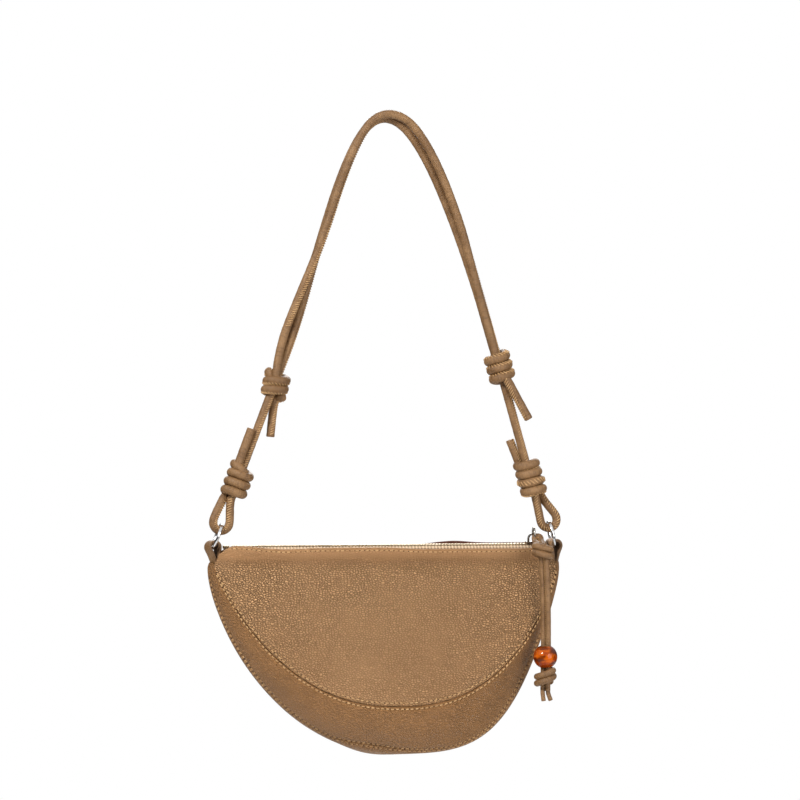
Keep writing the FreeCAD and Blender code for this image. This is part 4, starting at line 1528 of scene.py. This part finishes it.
def strand_points(aside):
    """One strand of the doubled cord, from its foot to just over the top knot."""
    low = pull_foot + aside
    high = pull_top + aside
    bow = TO_RIGHT * PULL_BOW
    belly = low + UPWARD * PULL_BELLY + bow / 2
    return [low, belly, high - UPWARD * PULL_NECK + bow, high, high + UPWARD * PULL_COLLAR]


def doubled_points():
    """Up one strand, through the ring and down the other."""
    slope = np.array((0, 1, 1)) / math.sqrt(2)
    reach = PULL_RING_RADIUS - PULL_RING_WIRE / 2 - PULL_CORD / 2 - RING_PLAY
    middle = pull_ring_middle - slope * (reach + PULL_BEND) + TO_RIGHT * PULL_LOOP_SHIFT
    apart = unit(np.array((1.0, -0.8, 0))) * pull_half_spacing
    bend = [middle - TO_RIGHT * PULL_BEND - slope * 3]
    bend += half_turn(middle, -TO_RIGHT, slope, PULL_BEND)
    bend.append(middle + TO_RIGHT * PULL_BEND - slope * 3)
    return strand_points(-apart) + bend + strand_points(apart)[::-1]


def round_knot_points(middle, tilt):
    """Turns of thin cord round both strands, tucked in at both ends."""
    steps = round(TURN_POINTS * PULL_WOUND)
    slope = math.tan(math.radians(tilt))
    points = []
    for i in range(-PULL_TUCK, steps + PULL_TUCK + 1):
        turn = 2 * math.pi * (i + PULL_TUCK) / TURN_POINTS
        tuck = max(0, -i, i - steps)
        radius = pull_coil_radius * ROUND_TURN - 0.3 * tuck ** 1.6
        climb = 1.15 * pull_pitch * (min(max(i, 0), steps) - steps / 2) / TURN_POINTS
        rise = climb + slope * radius * math.cos(turn)
        points.append(middle + np.array((radius * math.cos(turn), radius * math.sin(turn), rise)))
    return points


def make_pull():
    line, length = spline_line(doubled_points())
    strands = make_tube("pull_doubled_cord", line, PULL_STRAND_RADIUS, "pull", ("pull_strands",))
    whip_seam("pull_whipping", line, PULL_STRAND_RADIUS, "pull", 4.2, twist=0.004, pitch=1.6, thread=0.26)
    tuple(line[0] * MM)
    length * MM
    (line * MM).tolist()
    lower_drop = BEAD_DROP + BEAD_RADIUS + 0.4 + PULL_CORD / 2 + pull_pitch * PULL_TURNS / 2
    pull_low = pull_axis(-lower_drop)
    for name, middle, tilt in (("pull_top_knot", pull_top, -22), ("pull_bottom_knot", pull_low, 14)):
        wound = spline_line(round_knot_points(middle, tilt))[0]
        make_tube(name + "_cord", wound, PULL_KNOT_RADIUS, "pull", (name,))
    for name, sign, spread in (("left", -1, 8), ("right", 1, 22)):
        top = pull_foot + TO_RIGHT * (sign * pull_half_spacing)
        angle = math.radians(spread)
        way = TO_RIGHT * math.sin(angle) - UPWARD * math.cos(angle)
        bend = top - UPWARD * (PULL_CORD / 2)
        tail = spline_line([top + UPWARD, top, bend, bend + way * PULL_TAIL])[0]
        replaced = ("pull_tails",) if sign < 0 else ()
        make_tube(name + "_pull_tail", tail, PULL_TAIL_RADIUS, "pull", replaced)
    return length


print("doubled pull cord", round(make_pull(), 1), "mm")

# %% [markdown]
# What is hard and bright comes from the frame as it is: rings, slider, teeth, stops and bead. They only
# need their finish. The rings are chrome, a plain metal with faint polishing marks. The slider and its
# ring are a darker metal, because bright chrome would vanish before a white ground, and the teeth are a
# warm one. The bead is amber, clouded with darker swirls under a polished skin and nearly opaque.

# %% Metal and amber
def polished_finish(colour, dull, rough):
    def paint(w):
        place = w.place()
        marks = place.noise(900.0, 3.0)
        tone = w.mix(marks.between(0.35, 0.75) * 0.35, colour, dull)
        normal = w.bump(marks, 0.04, 0.0002)
        return w.surface(Base_Color=tone, Metallic=1.0, Roughness=rough + 0.1 * marks, Normal=normal)

    return paint


def amber_finish(w):
    place = w.place()
    swirl = place.noise(130.0, 3.0, 0.6)
    cloud = place.stretched((1.0, 1.0, 2.2)).noise(70.0, 2.0)
    colour = w.mix(swirl.between(0.42, 0.62), shade(204, 94, 12), shade(142, 52, 6))
    colour = w.mix(cloud.between(0.44, 0.62) * 0.85, colour, shade(66, 20, 6))
    return w.surface(
        Base_Color=colour, Roughness=0.06, Transmission_Weight=0.04, IOR=1.5, Specular_IOR_Level=0.22)


chrome = finish_of("bright_metal", polished_finish((0.78, 0.78, 0.79, 1), (0.42, 0.42, 0.44, 1), 0.1))
slider_metal = finish_of("slider_metal", polished_finish((0.40, 0.37, 0.33, 1), (0.2, 0.18, 0.15, 1), 0.16))
zip_metal = finish_of("zip_metal", polished_finish((0.80, 0.66, 0.45, 1), (0.45, 0.33, 0.2, 1), 0.3))
stop_metal = finish_of("stop_metal", polished_finish((0.42, 0.33, 0.21, 1), (0.2, 0.14, 0.08, 1), 0.4))
amber = finish_of("bead_amber", amber_finish)
hard_nodes = {
    "zip_teeth_front": zip_metal, "zip_teeth_back": zip_metal, "zip_bottom_stop": stop_metal,
    "zip_top_stops": stop_metal, "zip_slider": slider_metal, "pull_ring": slider_metal, "left_ring": chrome,
    "right_ring": chrome, "pull_bead": amber,
}
round_nodes = ("pull_ring", "left_ring", "right_ring", "pull_bead")
for name, finish in hard_nodes.items():
    mesh = nodes[name].data
    mesh.materials.clear()
    mesh.materials.append(finish)
    if name in round_nodes:
        mesh.polygons.foreach_set("use_smooth", [True] * len(mesh.polygons))
print("finished", len(hard_nodes), "hard pieces")
